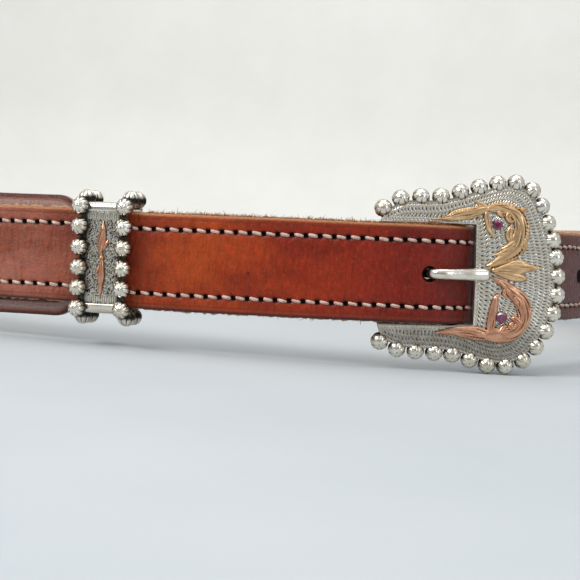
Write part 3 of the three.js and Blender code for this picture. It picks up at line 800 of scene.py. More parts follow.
def rim_beads():
    """The beads of the rim, and the small grains round the stones."""
    pile = Pile()
    fine, total = rim_points(2000)
    number = np.arange(RIM_BEADS)
    along = number * total / (RIM_BEADS - 1) + look_up(RIM_BEAD_SHIFT, number)
    spots = np.rint(along / total * 1999).astype(int)
    for point, outward in zip(fine[spots], left_of(directions(fine))[spots]):
        on_long_side = abs(point[1]) > 16
        tilt = 0.5 if on_long_side else 0.2
        axis = (outward[0] * tilt, outward[1] * tilt, 1.0)
        turn = random.uniform(0, 2 * math.pi)
        size = RIM_BEAD_RADIUS * random.uniform(0.965, 1.0)
        start = 0.0 if on_long_side else 0.25
        fluted_bead(pile, (*point, RIM_BEAD_HEIGHT), size, axis, 7, turn, 0.07, start)
    grain = GRAIN_RADIUS * ball(steps(0.02, math.pi - 0.02, 6), round_steps(10))
    for u, v, radius in STONES:
        reach = radius + GRAIN_REACH
        for angle in round_steps(8):
            at = (u + reach * math.cos(angle), v + reach * math.sin(angle), PLATE_TOP + 0.16)
            pile.add(grain + np.array(at), tube_faces(*grain.shape[:2]), dark=0 * grain[..., 0])
    return pile


def bar_and_lugs():
    """The heel bar and the lugs that carry it under the arms."""
    pile = Pile()
    turn = round_steps(28)
    ends = np.array([-WINDOW_HALF - 0.5, -8.0, 0.0, 8.0, WINDOW_HALF + 0.5])[:, None]
    bar = grid(BAR_RADIUS * np.cos(turn), ends, BAR_RADIUS * np.sin(turn))
    pile.add(bar, tube_faces(*bar.shape[:2]), dark=0.3 + 0 * bar[..., 0])
    for side in (-1, 1):
        rows = []
        for v, inset in LUG_SECTIONS:
            left, right, low, high = LUG_LEFT + inset, LUG_RIGHT - inset, LUG_LOW + inset, PLATE_UNDER
            rows.append([(left, side * v, low), (right, side * v, low),
                         (right, side * v, high), (left, side * v, high)])
        lug = np.array(rows)
        pile.add(lug, tube_faces(4, 4), dark=0.3 + 0 * lug[..., 0])
    return pile


def prong():
    """A half round tongue and its loop round the bar."""
    pile = Pile()
    table = smooth_curve(PRONG_LINE, 0.35)
    run = directions(table[:, :2])
    u, w, half, thick = (table[:, k:k + 1] for k in range(4))
    arch = steps(0, math.pi, 14)
    across = np.concatenate([np.cos(arch), [-0.8, 0.8]])
    height = np.concatenate([0.28 + 0.72 * np.sin(arch) ** 0.8, [0.0, 0.0]])
    out = thick * height
    points = grid(u - run[:, 1:2] * out, half * across, w + run[:, 0:1] * out)
    # Painted shade: the stem is marked fully dark where it lies inside the billet's hole
    shaded_in_hole = part_way(w, 7.4, 6.6) * part_way(u, 11.2, 10.7)
    pile.add(points, tube_faces(*out.shape), dark=shaded_in_hole + 0 * out)
    inner, outer = PRONG_LOOP
    turn, around = round_steps(40)[:, None], round_steps(12)
    reach = (inner + outer) / 2 + (outer - inner) / 2 * np.cos(around)
    ring = grid(reach * np.cos(turn), PRONG_HALF * np.sin(around), reach * np.sin(turn))
    pile.add(ring, tube_faces(*ring.shape[:2], closed=True), dark=0 * ring[..., 0])
    return pile


# Leaf work: each stroke is a domed ribbon along a spine, with columns u, v and half width

def stroke(pile, rows, base, cuts, height=0.85, hatch=0.0):
    """A stroke with long cuts, at shares of its half width, and a comb of short ones on one side."""
    table = smooth_curve(rows, 0.14)
    side = left_of(directions(table[:, :2]))
    half = np.maximum(table[:, 2], 0.03)
    x = np.sin(steps(-90, 90, 30) * DEGREES)
    dome = np.maximum(1 - x**2, 0) ** 0.4
    grow = np.minimum(1, half / 0.75) ** 0.8
    share = np.linspace(0, 1, len(table))
    mask = part_way(share, 0.04, 0.14) * part_way(share, 0.92, 0.72) * (half > 0.35)
    length = np.cumsum(np.linalg.norm(np.gradient(table[:, :2], axis=0), axis=1))[:, None]
    groove = np.zeros((len(table), len(x)))
    for number, middle in enumerate(cuts):
        sway = 0.07 * np.sin(length * 0.9 + 2.4 * number)
        swell = 0.55 + 0.45 * np.sin(length * 0.62 + 1.9 * number)
        groove = np.maximum(groove, swell * np.exp(-((x[None, :] - middle - sway) / 0.1) ** 2))
    comb = (0.5 + 0.5 * np.cos(2 * math.pi * (length / 0.85 - 0.9 * np.abs(x)[None, :]))) ** 3
    comb = comb * part_way(x[None, :] * np.sign(hatch), 0.35, 0.6) * abs(hatch)
    cut_depth = (groove * 0.22 + comb * 0.16) * mask[:, None]
    w = base + height * grow[:, None] * dome[None, :] - cut_depth
    uv = table[:, None, :2] + (half[:, None] * x[None, :])[..., None] * side[:, None, :]
    top = np.concatenate([uv, w[..., None]], axis=-1)
    low = np.concatenate([uv[:, [-1, 0]], np.full((len(table), 2, 1), base - STROKE_FOOT)], axis=-1)
    dark = np.clip(0.9 * groove + 0.6 * comb, 0, 1) * mask[:, None]
    # Painted shade along the stroke's edges and down its sides, where it meets the plate
    foot = part_way(np.abs(x), 0.93, 1)[None, :] * 0.7
    dark = np.concatenate([np.maximum(dark, foot), np.full((len(table), 2), 0.8)], axis=1)
    points = np.concatenate([top, low], axis=1)
    pile.add(points, tube_faces(*points.shape[:2]), dark=dark)


def strokes(table, base):
    pile = Pile()
    for spine, options in table:
        stroke(pile, spine, base, **options)
    return pile


UPPER_SCROLL = [
    ([(10.0, 14.0, 0.05), (12.4, 14.2, 0.4), (14.3, 14.4, 0.9), (15.9, 15.1, 1.4), (18.2, 15.6, 1.65),
      (20.8, 16.1, 1.5), (22.9, 16.8, 1.1), (25.0, 17.2, 0.6)],
     {"cuts": (-0.62, -0.2, 0.25, 0.6), "hatch": 0.7}),
    ([(23.6, 17.0, 0.3), (25.7, 17.4, 1.1), (28.1, 17.6, 1.45), (30.5, 17.1, 1.6), (32.6, 15.8, 1.8),
      (33.7, 13.4, 1.9), (33.6, 10.6, 2.2), (32.6, 7.8, 2.4), (30.8, 5.6, 2.0), (28.3, 3.9, 1.3),
      (26.2, 2.8, 0.8), (24.6, 2.3, 0.2)],
     {"cuts": (-0.68, -0.36, 0.0, 0.36, 0.64), "hatch": 0.8}),
    ([(31.0, 8.4, 0.3), (30.4, 10.2, 1.0), (30.6, 12.2, 0.7), (31.2, 13.6, 0.06)], {"cuts": (0.0,)}),
    ([(24.4, 17.2, 0.3), (24.2, 15.6, 0.68), (24.6, 13.8, 0.82), (25.1, 11.9, 0.72), (25.9, 10.6, 0.45),
      (26.7, 9.6, 0.05)], {"cuts": (0.1,)}),
    ([(24.9, 17.3, 0.4), (22.6, 18.3, 0.62), (20.7, 19.1, 0.05)], {"cuts": (0.0,)}),
    ([(31.9, 8.6, 0.9), (29.9, 7.3, 0.75), (28.3, 6.9, 0.06)], {"cuts": (0.0,)}),
    ([(30.4, 16.4, 0.9), (29.9, 14.9, 0.75), (31.0, 14.0, 0.5), (31.6, 14.6, 0.1)], {"cuts": (0.0,)}),
    ([(33.4, 17.0, 0.8), (35.2, 17.7, 0.06)], {"cuts": ()}),
    ([(27.2, 16.6, 0.6), (28.4, 15.4, 0.55), (29.3, 15.6, 0.06)], {"cuts": (0.0,)}),
    ([(31.6, 7.2, 0.9), (29.6, 6.1, 0.95), (27.6, 5.4, 0.5), (26.4, 5.3, 0.05)], {"cuts": (-0.2, 0.3)}),
    ([(34.4, 9.6, 0.7), (34.7, 7.3, 0.6), (33.9, 5.6, 0.06)], {"cuts": (0.0,), "height": 0.7}),
]

LOWER_SCROLL = [
    ([(26.0, -0.5, 0.12), (28.5, -1.8, 0.9), (30.5, -3.2, 1.4), (32.5, -4.8, 1.75), (34.2, -6.5, 2.0),
      (35.0, -8.5, 2.05), (35.3, -10.6, 1.75), (34.7, -12.7, 1.6), (32.9, -14.6, 1.85),
      (30.2, -15.6, 1.95), (27.4, -15.6, 1.95), (25.0, -15.9, 1.2)],
     {"cuts": (-0.68, -0.36, 0.0, 0.36, 0.64), "hatch": -0.8}),
    ([(26.6, -15.9, 1.2), (23.1, -15.4, 1.8), (20.8, -15.1, 1.7), (18.4, -14.9, 1.4), (16.7, -14.8, 1.1),
      (13.9, -15.1, 0.7), (11.6, -15.5, 0.05)],
     {"cuts": (-0.6, -0.2, 0.2, 0.6), "hatch": 0.7}),
    ([(26.2, -15.2, 0.6), (26.5, -12.8, 1.25), (26.7, -10.7, 1.15), (27.0, -8.9, 1.1), (27.3, -7.0, 0.9),
      (27.6, -5.6, 0.6), (28.9, -4.9, 0.1)], {"cuts": (-0.3, 0.3)}),
    ([(32.3, -5.6, 0.5), (33.6, -7.0, 1.25), (33.4, -9.0, 0.06)], {"cuts": (0.0,), "height": 0.95}),
    ([(31.6, -14.0, 0.9), (31.9, -12.6, 0.7), (33.2, -12.0, 0.1)], {"cuts": (0.0,)}),
    ([(29.9, -3.4, 0.5), (29.7, -5.0, 0.55), (31.0, -5.9, 0.08)], {"cuts": ()}),
    ([(34.4, -12.6, 0.9), (32.6, -11.2, 0.8), (31.4, -11.3, 0.06)], {"cuts": (0.0,)}),
    ([(28.8, -15.0, 0.7), (30.0, -13.4, 0.6), (31.2, -13.2, 0.06)], {"cuts": (0.0,)}),
    ([(23.4, -15.2, 0.8), (21.4, -13.9, 0.5), (19.6, -13.6, 0.05)], {"cuts": (0.0,), "height": 0.7}),
]

CENTER_LEAF = [
    ([(26.0, 1.2, 0.4), (27.6, 1.3, 0.9), (30.4, 1.7, 1.6), (33.2, 1.9, 1.65), (36.5, 2.1, 0.9),
      (39.8, 2.2, 0.05)], {"cuts": (-0.35, 0.25), "height": 0.95}),
    ([(26.8, 0.8, 0.4), (29.3, 0.3, 1.0), (31.8, -0.2, 1.25), (34.2, -0.6, 0.95), (36.2, -0.6, 0.06)],
     {"cuts": (0.1,), "height": 0.7}),
    ([(28.8, 1.9, 0.3), (31.4, 2.9, 0.9), (34.0, 3.3, 0.75), (36.0, 3.2, 0.06)],
     {"cuts": (0.0,), "height": 0.7}),
    ([(25.9, 1.3, 0.3), (26.5, 1.3, 0.75), (27.2, 1.3, 0.3)], {"cuts": (), "height": 1.05}),
]

KEEPER_LEAF = [
    ([(0.0, -0.2, 0.45), (-0.35, 2.0, 0.75), (-0.2, 4.6, 1.25), (0.2, 7.0, 0.9), (0.1, 9.9, 0.05)],
     {"cuts": (0.0, -0.5, 0.5), "hatch": 0.5}),
    ([(0.0, 0.2, 0.4), (0.15, -2.4, 0.75), (0.1, -5.2, 0.95), (0.0, -8.0, 0.6), (-0.1, -11.0, 0.05)],
     {"cuts": (0.0, -0.5), "hatch": -0.5}),
    ([(0.3, 2.2, 0.3), (1.2, 3.6, 0.5), (1.65, 5.0, 0.06)], {"cuts": ()}),
    ([(-0.3, -2.0, 0.3), (-1.1, -3.4, 0.45), (-1.5, -4.7, 0.06)], {"cuts": ()}),
    ([(-0.9, 0.0, 0.1), (-0.4, 0.0, 0.55), (0.4, 0.0, 0.55), (0.9, 0.0, 0.1)], {"cuts": (), "height": 1.0}),
]


# Keeper

def keeper_path():
    """The outer line of the band from the lower end of its back, as w and v, and its normals."""
    back, front = KEEPER_BACK - BAND_THICK, KEEPER_FRONT + BAND_THICK
    top = KEEPER_HALF + BAND_THICK
    r = KEEPER_CORNER
    corners = [(back + r, r - top, 180), (front - r, r - top, 270),
               (front - r, top - r, 0), (back + r, top - r, 90)]
    bends = 8
    path, normal = [], []
    for w, v, start in corners + corners[:1]:
        angle = steps(start, start + 90, bends) * DEGREES
        way = np.stack([np.cos(angle), np.sin(angle)], axis=-1)
        path.append(np.array([w, v]) + r * way)
        normal.append(way)
    path = np.vstack(path)[:-bends]
    normal = np.vstack(normal)[:-bends]
    length = lengths(path)
    even = np.linspace(0, length[-1], KEEPER_SECTIONS, endpoint=False)
    return read_off(even, length, path), read_off(even, length, normal)


def keeper_band():
    """The band, stippled on its faces, with a row of ticks and a line near each end of them."""
    path, normal = keeper_path()
    normal /= np.linalg.norm(normal, axis=1)[:, None]
    u = np.concatenate([[-BAND_HALF, -BAND_HALF + 0.15], steps(-5.9, 5.9, 64),
                        [BAND_HALF - 0.15, BAND_HALF]])
    v = path[:, 1:2]
    flat = np.abs(normal[:, 0:1]) > 0.99
    field = part_way(np.abs(v), 12.2, 11.95) * flat * (np.abs(u)[None, :] < 5.9)
    stipple = random.uniform(0, 1, (len(path), len(u)))
    stipple = (stipple + np.roll(stipple, 1, axis=0)) / 2
    tick_zone = np.exp(-((np.abs(v) - 10.8) / 0.75) ** 4) * flat
    ticks = (0.5 + 0.5 * np.cos(2 * math.pi * u[None, :] / 0.62)) ** 2 * tick_zone
    line = np.exp(-((np.abs(v) - 12.15) / 0.12) ** 2) * flat
    depth = 0.13 * stipple * field * (1 - tick_zone) + 0.16 * ticks + 0.12 * line
    lip = 0.1 * (np.abs(u)[None, :] > 6.2)
    sides = []
    for across, out in ((u, -(depth + lip)), (np.array([BAND_HALF, -BAND_HALF]), -BAND_THICK)):
        sides.append(grid(across, v + normal[:, 1:2] * out, path[:, 0:1] + normal[:, 0:1] * out))
    points = np.concatenate(sides, axis=1)
    pits = 0.3 + 0.6 * part_way(stipple, 0.45, 0.65)
    dark = np.clip(pits * field * (1 - tick_zone) + 0.8 * ticks + 0.6 * line, 0, 1)
    # Tarnish and painted shade on the band toward the bead rows
    dark = np.maximum(dark, part_way(np.abs(u), 3.4, 4.6)[None, :] * 0.8)
    dark = np.concatenate([dark, np.full((len(path), 2), 0.3)], axis=1)
    pile = Pile()
    pile.add(points, tube_faces(*points.shape[:2], closed=True), dark=dark)
    return pile


def keeper_beads():
    pile = Pile()
    side_height = KEEPER_HALF + BAND_THICK + KEEPER_BEAD_LIFT
    face_height = KEEPER_FRONT + BAND_THICK + KEEPER_BEAD_LIFT
    faces = [(i * KEEPER_BEAD_PITCH, face_height, (0, 0, 1)) for i in steps(-2.5, 2.5, 5)]
    sides = [(side * side_height, w, (0, side, 0)) for w in KEEPER_SIDE_BEADS for side in (-1, 1)]
    for u in (-KEEPER_BEAD_ROW, KEEPER_BEAD_ROW):
        for v, w, way in faces + sides:
            axis = (way[0] + random.normal(0, 0.07), way[1] + random.normal(0, 0.07), way[2])
            size = KEEPER_BEAD_RADIUS * random.uniform(0.97, 1.0)
            fluted_bead(pile, (u, v, w), size, axis, 9, random.uniform(0, 2 * math.pi), 0.11, 0.05)
    return pile


# Materials

class Nodes:
    """A node tree, with a short way to add its nodes."""

    def __init__(self, tree):
        self.tree = tree

    def node(self, kind, inputs=None, **settings):
        node = self.tree.nodes.new("ShaderNode" + kind)
        for key, value in settings.items():
            setattr(node, key, value)
        for key, value in (inputs or {}).items():
            self.set(node.inputs[key], value)
        return node

    def set(self, socket, value):
        if isinstance(value, bpy.types.NodeSocket):
            self.tree.links.new(value, socket)
        else:
            socket.default_value = value


class Paint(Nodes):
    """A material, with short ways to add what its look is made of."""

    def __init__(self, name, **values):
        self.material = bpy.data.materials.new(name)
        self.material.use_nodes = True
        super().__init__(self.material.node_tree)
        self.shader = next(n for n in self.tree.nodes if n.type == "BSDF_PRINCIPLED")
        for key, value in values.items():
            self.shader.inputs[key.replace("_", " ")].default_value = value

    def value(self, name):
        return self.node("Attribute", attribute_name=name).outputs["Fac"]

    def place(self):
        """The length along the strap, the height and the part of the strap, as one vector."""
        return self.node("Attribute", attribute_name="place").outputs["Vector"]

    def scaled_place(self, along, across):
        return self.node("Mapping", {0: self.place(), 3: (along, across, 1)}).outputs[0]

    def position(self, scale):
        at = self.node("TexCoord").outputs["Object"]
        return self.node("Mapping", {0: at, 3: (scale, scale, scale)}).outputs[0]

    def noise(self, vector, detail=3.0, rough=0.55):
        inputs = {"Vector": vector, "Scale": 1.0, "Detail": detail, "Roughness": rough}
        return self.node("TexNoise", inputs).outputs[0]

    def strap_noise(self, along, across, detail, rough=0.55):
        """Noise with its own scale along the strap and across it."""
        return self.noise(self.scaled_place(along, across), detail, rough)

    def cells(self, vector, feature="F1"):
        node = self.node("TexVoronoi", {"Vector": vector, "Scale": 1.0}, feature=feature)
        return node.outputs["Distance"]

    def math(self, kind, a, b=0.0, clamp=False):
        return self.node("Math", {0: a, 1: b}, operation=kind, use_clamp=clamp).outputs[0]

    def times(self, a, b):
        return self.math("MULTIPLY", a, b)

    def span(self, value, low, high, to_low=0.0, to_high=1.0):
        inputs = {0: value, 1: low, 2: high, 3: to_low, 4: to_high}
        return self.node("MapRange", inputs, interpolation_type="SMOOTHSTEP").outputs[0]

    def ramp(self, value, stops):
        node = self.node("ValToRGB", {0: value})
        ramp = node.color_ramp
        while len(ramp.elements) < len(stops):
            ramp.elements.new(0.5)
        for element, (at, color) in zip(ramp.elements, stops):
            element.position = at
            element.color = (*color, 1)
        return node.outputs[0]

    def mix(self, share, a, b, blend="MIX"):
        node = self.node("Mix", data_type="RGBA", blend_type=blend)
        self.set(node.inputs[0], share)
        for socket, value in ((node.inputs[6], a), (node.inputs[7], b)):
            self.set(socket, (*value, 1) if isinstance(value, tuple) else value)
        return node.outputs[2]

    def bump(self, height, strength, distance, normal=None):
        inputs = {"Height": height, "Strength": strength, "Distance": distance}
        node = self.node("Bump", inputs)
        if normal is not None:
            self.set(node.inputs["Normal"], normal)
        return node.outputs[0]

    def finish(self, color=None, roughness=None, normal=None):
        for key, value in (("Base Color", color), ("Roughness", roughness), ("Normal", normal)):
            if value is not None:
                self.set(self.shader.inputs[key], value)
        return self.material


def top_leather(band):
    """Glossy saddle leather, orange brown to deep red brown, with burnished edges. The deep red brown toward
    the buckle and on the wide body is partly painted shade.
    """
    paint = Paint("top_leather_fine", Coat_Roughness=0.2)
    at = paint.place()
    parts = paint.node("SeparateXYZ", {0: at})
    length, part = parts.outputs[0], parts.outputs[2]
    start, end = band.length_at(60), band.length_at(-105)
    past = paint.math("SUBTRACT", length, float(start))
    along = paint.math("DIVIDE", past, float(end - start), clamp=True)
    # Along the billet: darker toward and past the buckle, partly the leather's tone and partly painted shade
    billet = paint.ramp(along, [
        (0.0, (0.1, 0.024, 0.022)), (0.2, (0.12, 0.009, 0.005)), (0.36, (0.2, 0.012, 0.003)),
        (0.5, (0.3, 0.026, 0.003)), (0.66, (0.38, 0.055, 0.005)), (0.79, (0.3, 0.042, 0.008)),
        (0.85, (0.29, 0.08, 0.045)), (1.0, (0.36, 0.14, 0.1)),
    ])
    cloud = paint.strap_noise(0.05, 0.08, 5, 0.6)
    # The wide body is the same leather, painted darker than the billet as shade, and mottled
    body = paint.ramp(cloud, [(0.3, (0.13, 0.038, 0.024)), (0.7, (0.22, 0.075, 0.042))])
    color = paint.mix(part, body, billet)
    color = paint.mix(paint.span(cloud, 0.42, 0.66), color, (0.66, 0.5, 0.42), "MULTIPLY")
    streak = paint.strap_noise(1.1, 0.14, 6, 0.62)
    color = paint.mix(paint.span(streak, 0.46, 0.68, 0, 0.38), color, (0.5, 0.34, 0.3), "MULTIPLY")
    slant = paint.node("VectorRotate", {"Vector": at, "Angle": 0.25}, rotation_type="Z_AXIS").outputs[0]
    scratched = paint.node("Mapping", {0: slant, 3: (3.4, 0.55, 1)}).outputs[0]
    scratch = paint.noise(scratched, detail=7, rough=0.68)
    color = paint.mix(paint.span(scratch, 0.54, 0.7, 0, 0.42), color, (0.46, 0.13, 0.04))
    for s, z, size in MARKS:
        spot = (float(band.length_at(s)), z, 1.0)
        away = paint.node("VectorMath", {0: at, 1: spot}, operation="DISTANCE").outputs["Value"]
        color = paint.mix(paint.span(away, size, size * 0.5, 0, 0.85), color, (0.03, 0.006, 0.004))
    light = paint.strap_noise(0.9, 0.35, 8, 0.6)
    color = paint.mix(paint.span(light, 0.48, 0.7, 0, 0.55), color, (1.0, 0.45, 0.16), "SOFT_LIGHT")
    grain = paint.cells(paint.scaled_place(2.6, 2.6), "SMOOTH_F1")
    color = paint.mix(paint.span(grain, 0.3, 0.75, 0, 0.3), color, (0.55, 0.42, 0.38), "MULTIPLY")
    pores = paint.cells(paint.scaled_place(2.3, 2.3))
    pore = paint.span(pores, 0.3, 0.06)
    inset = paint.value("inset")
    wide = paint.math("SUBTRACT", 1.0, part)
    border = paint.times(paint.span(inset, 3.7, 3.2), paint.span(inset, 0.9, 1.5))
    border = paint.times(border, wide)
    color = paint.mix(paint.times(border, 0.85), color, (0.42, 0.28, 0.25))
    color = paint.mix(paint.times(pore, paint.span(border, 0, 1, 0.14, 0.75)),
                      color, (0.25, 0.16, 0.14), "MULTIPLY")
    crease = paint.times(paint.span(inset, 1.2, 1.45), paint.span(inset, 1.9, 1.6))
    color = paint.mix(paint.times(crease, 0.35), color, (0.05, 0.012, 0.008))
    rim_glow = paint.times(paint.span(inset, 1.9, 1.2), paint.span(inset, 0.5, 0.9))
    color = paint.mix(paint.times(rim_glow, 0.3), color, (0.2, 0.04, 0.012))
    burnish = paint.span(inset, 1.0, 0.35)
    edge_tone = paint.ramp(streak, [(0.35, (0.03, 0.008, 0.012)), (0.7, (0.09, 0.028, 0.03))])
    fuzz = paint.strap_noise(1.3, 3.5, 8, 0.75)
    tans = [(0.35, (0.25, 0.075, 0.025)), (0.6, (0.5, 0.22, 0.09)), (0.8, (0.62, 0.36, 0.2))]
    upper = paint.times(paint.span(parts.outputs[1], 2.0, 5.0), part)
    edge_tone = paint.mix(upper, edge_tone, paint.ramp(fuzz, tans))
    color = paint.mix(paint.times(burnish, 0.85), color, edge_tone)
    flesh = paint.value("flesh")
    raw = paint.ramp(fuzz, [(0.3, (0.16, 0.07, 0.03)), (0.7, (0.36, 0.19, 0.1))])
    color = paint.mix(flesh, color, raw)
    well = paint.value("well")
    # Painted shade: the stitch holes go near black, and a little darker round them
    color = paint.mix(paint.span(well, 0.16, 0.6), color, (0.006, 0.003, 0.002))
    color = paint.mix(paint.span(well, 0.02, 0.2, 0, 0.5), color, (0.3, 0.2, 0.18), "MULTIPLY")
    roughness = paint.span(light, 0.35, 0.65, 0.26, 0.46)
    roughness = paint.math("ADD", roughness, paint.times(flesh, 0.4))
    paint.set(paint.shader.inputs["Specular IOR Level"], paint.span(well, 0.1, 0.5, 0.24, 0.02))
    paint.set(paint.shader.inputs["Coat Weight"], paint.span(well, 0.1, 0.5, 0.06, 0.0))
    fine = paint.strap_noise(5.0, 3.2, 4, 0.6)
    wrinkle = paint.strap_noise(0.8, 0.5, 6, 0.6)
    gloss_end = paint.span(along, 0.78, 0.86)
    plain = paint.math("MAXIMUM", gloss_end, wide)
    normal = paint.bump(grain, paint.span(plain, 0, 1, 0.22, 0.6), 0.00022)
    normal = paint.bump(fine, 0.2, 0.00012, normal)
    normal = paint.bump(wrinkle, 0.5, 0.0008, normal)
    normal = paint.bump(streak, 0.1, 0.0002, normal)
    normal = paint.bump(pore, paint.times(border, 0.8), 0.0002, normal)
    return paint.finish(color, roughness, normal)


def lining_leather():
    """Undyed tan lining, napped on its face and fibrous at its raw edge."""
    paint = Paint("lining_leather_fine", Specular_IOR_Level=0.25)
    nap = paint.strap_noise(0.9, 1.6, 9, 0.72)
    cloud = paint.strap_noise(0.05, 0.12, 4)
    color = paint.ramp(nap, [(0.28, (0.2, 0.1, 0.045)), (0.52, (0.38, 0.2, 0.1)), (0.8, (0.56, 0.36, 0.2))])
    color = paint.mix(paint.span(cloud, 0.35, 0.7, 0, 0.5), color, (0.7, 0.55, 0.45), "MULTIPLY")
    edge = paint.span(paint.value("inset"), 0.5, 0.05)
    fibre = paint.strap_noise(2.5, 9.0, 8, 0.8)
    raw = paint.ramp(fibre, [(0.3, (0.3, 0.16, 0.08)), (0.6, (0.62, 0.44, 0.3)), (0.85, (0.8, 0.68, 0.55))])
    color = paint.mix(edge, color, raw)
    # Painted shade: the lining goes near black round its holes
    color = paint.mix(paint.span(paint.value("well"), 0.2, 0.8), color, (0.03, 0.015, 0.01))
    normal = paint.bump(nap, 0.5, 0.0004)
    normal = paint.bump(fibre, 0.3, 0.0002, normal)
    return paint.finish(color, paint.span(nap, 0.3, 0.8, 0.92, 0.74), normal)


def thread_material():
    """Pinkish cream waxed thread of two twisted plies."""
    paint = Paint("stitch_thread", Specular_IOR_Level=0.35, Roughness=0.6)
    at = paint.place()
    parts = paint.node("SeparateXYZ", {0: at})
    twist = paint.math("ADD", paint.times(parts.outputs[0], 4.2), parts.outputs[1])
    ply = paint.math("ABSOLUTE", paint.math("SINE", twist))
    soil = paint.noise(paint.position(700), detail=4)
    creams = [(0.3, (0.5, 0.32, 0.26)), (0.6, (0.8, 0.62, 0.53)), (0.85, (0.92, 0.82, 0.74))]
    color = paint.ramp(soil, creams)
    # Painted shade in the groove between the two plies
    color = paint.mix(paint.span(ply, 0.45, 0.0, 0, 0.55), color, (0.45, 0.28, 0.2), "MULTIPLY")
    return paint.finish(color, None, paint.bump(ply, 0.7, 0.0002))


def fibre_material():
    """Loose tan fibres, some of them dark."""
    paint = Paint("raw_fibre", Roughness=0.85)
    tone = paint.noise(paint.position(900), detail=3)
    tans = [(0.3, (0.25, 0.09, 0.03)), (0.55, (0.45, 0.23, 0.1)), (0.8, (0.62, 0.4, 0.24))]
    return paint.finish(paint.ramp(tone, tans))


def metal(name, bright, worn, deep, rough, tone_scale):
    """Engraved metal, darkened where its dark values say: tarnish in its cuts, and painted shade at bead
    bases, stroke feet, beside the beads and where the prong lies in the hole; lightly scratched on its high
    places.
    """
    paint = Paint(name, Metallic=1.0)
    dark = paint.value("dark")
    tone = paint.noise(paint.position(tone_scale), detail=5, rough=0.6)
    color = paint.mix(paint.span(tone, 0.3, 0.72), bright, worn)
    spots = paint.noise(paint.position(1500), detail=6, rough=0.7)
    # The dark values hold both tarnish and painted shade
    soil_and_shade = paint.times(dark, paint.span(spots, 0.2, 0.6, 0.7, 1.0))
    tarnish_and_shade = paint.span(soil_and_shade, 0.12, 0.85)
    color = paint.mix(tarnish_and_shade, color, deep)
    specks = paint.span(spots, 0.66, 0.78, 0, 0.35)
    color = paint.mix(specks, color, deep)
    polish = paint.span(tone, 0.25, 0.75, rough, rough + 0.14)
    roughness = paint.math("ADD", polish, paint.times(tarnish_and_shade, 0.32))
    scratch = paint.noise(paint.position(2600), detail=5, rough=0.65)
    normal = paint.bump(scratch, 0.12, 0.00006)
    normal = paint.bump(tone, 0.1, 0.0004, normal)
    return paint.finish(color, roughness, normal)


def gem_material():
    """Dark pink purple cut stone."""
    paint = Paint("cut_stone", Roughness=0.04, IOR=1.76, Coat_Weight=0.4, Transmission_Weight=0.2)
    tone = paint.noise(paint.position(900), detail=2)
    color = paint.ramp(tone, [(0.35, (0.08, 0.003, 0.035)), (0.65, (0.28, 0.015, 0.11))])
    return paint.finish(color)


def stage_material():
    """A cool white sheet of paper, going over into a warm white wall."""
    paint = Paint("pale_paper", Roughness=0.85)
    back = paint.node("SeparateXYZ", {0: paint.node("TexCoord").outputs["Object"]}).outputs[1]
    paper = paint.noise(paint.position(7), detail=6, rough=0.6)
    sheet = paint.ramp(paper, [(0.3, (0.46, 0.5, 0.525)), (0.7, (0.51, 0.545, 0.565))])
    wall = paint.ramp(paper, [(0.3, (0.82, 0.815, 0.78)), (0.7, (0.86, 0.855, 0.825))])
    color = paint.mix(paint.span(back, 1.2, FLOOR_END), sheet, wall)
    return paint.finish(color, None, paint.bump(paper, 0.15, 0.006))


# Pieces

def settle(piece, nodes):
    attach(piece, "root")
    if nodes:
        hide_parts(*nodes)


def leather_pieces():
    band, part, skip = top_band()
    leather = top_leather(band)
    strap = leather_body(band, part, GRAIN_INSETS, skip).build("strap_top", LOOP, leather)
    lining = lining_band()
    pale = lining_leather()
    flat_part = np.zeros(len(lining.s))
    inner = leather_body(lining, flat_part, LINING_INSETS, 10**6).build("strap_lining", LOOP, pale)
    # The walls of the punched holes and the slot are painted near black as shade inside them
    wall = Paint("punched_wall_shade", Roughness=0.7).finish((0.012, 0.006, 0.004, 1))
    values = ("place", "inset", "well", "flesh")
    cut(strap, hole_cutters(wall, HOLE_RADIUS) + [slot_cutter(wall)], values)
    cut(inner, hole_cutters(wall, FIRST_LINING_HOLE), values)
    shade_round_holes(inner)
    thread = thread_material()
    front = stitches(band, band.length[skip] + 4, True).build("stitching_front", LOOP, thread)
    back = stitches(lining, 4, False).build("stitching_back", LOOP, thread)
    fibres = edge_fibres(band).build("edge_fibres", LOOP, fibre_material())
    settle(strap, ["belt_strap"])
    settle(inner, ["belt_lining"])
    settle(front, [])
    settle(back, [])
    settle(fibres, [])


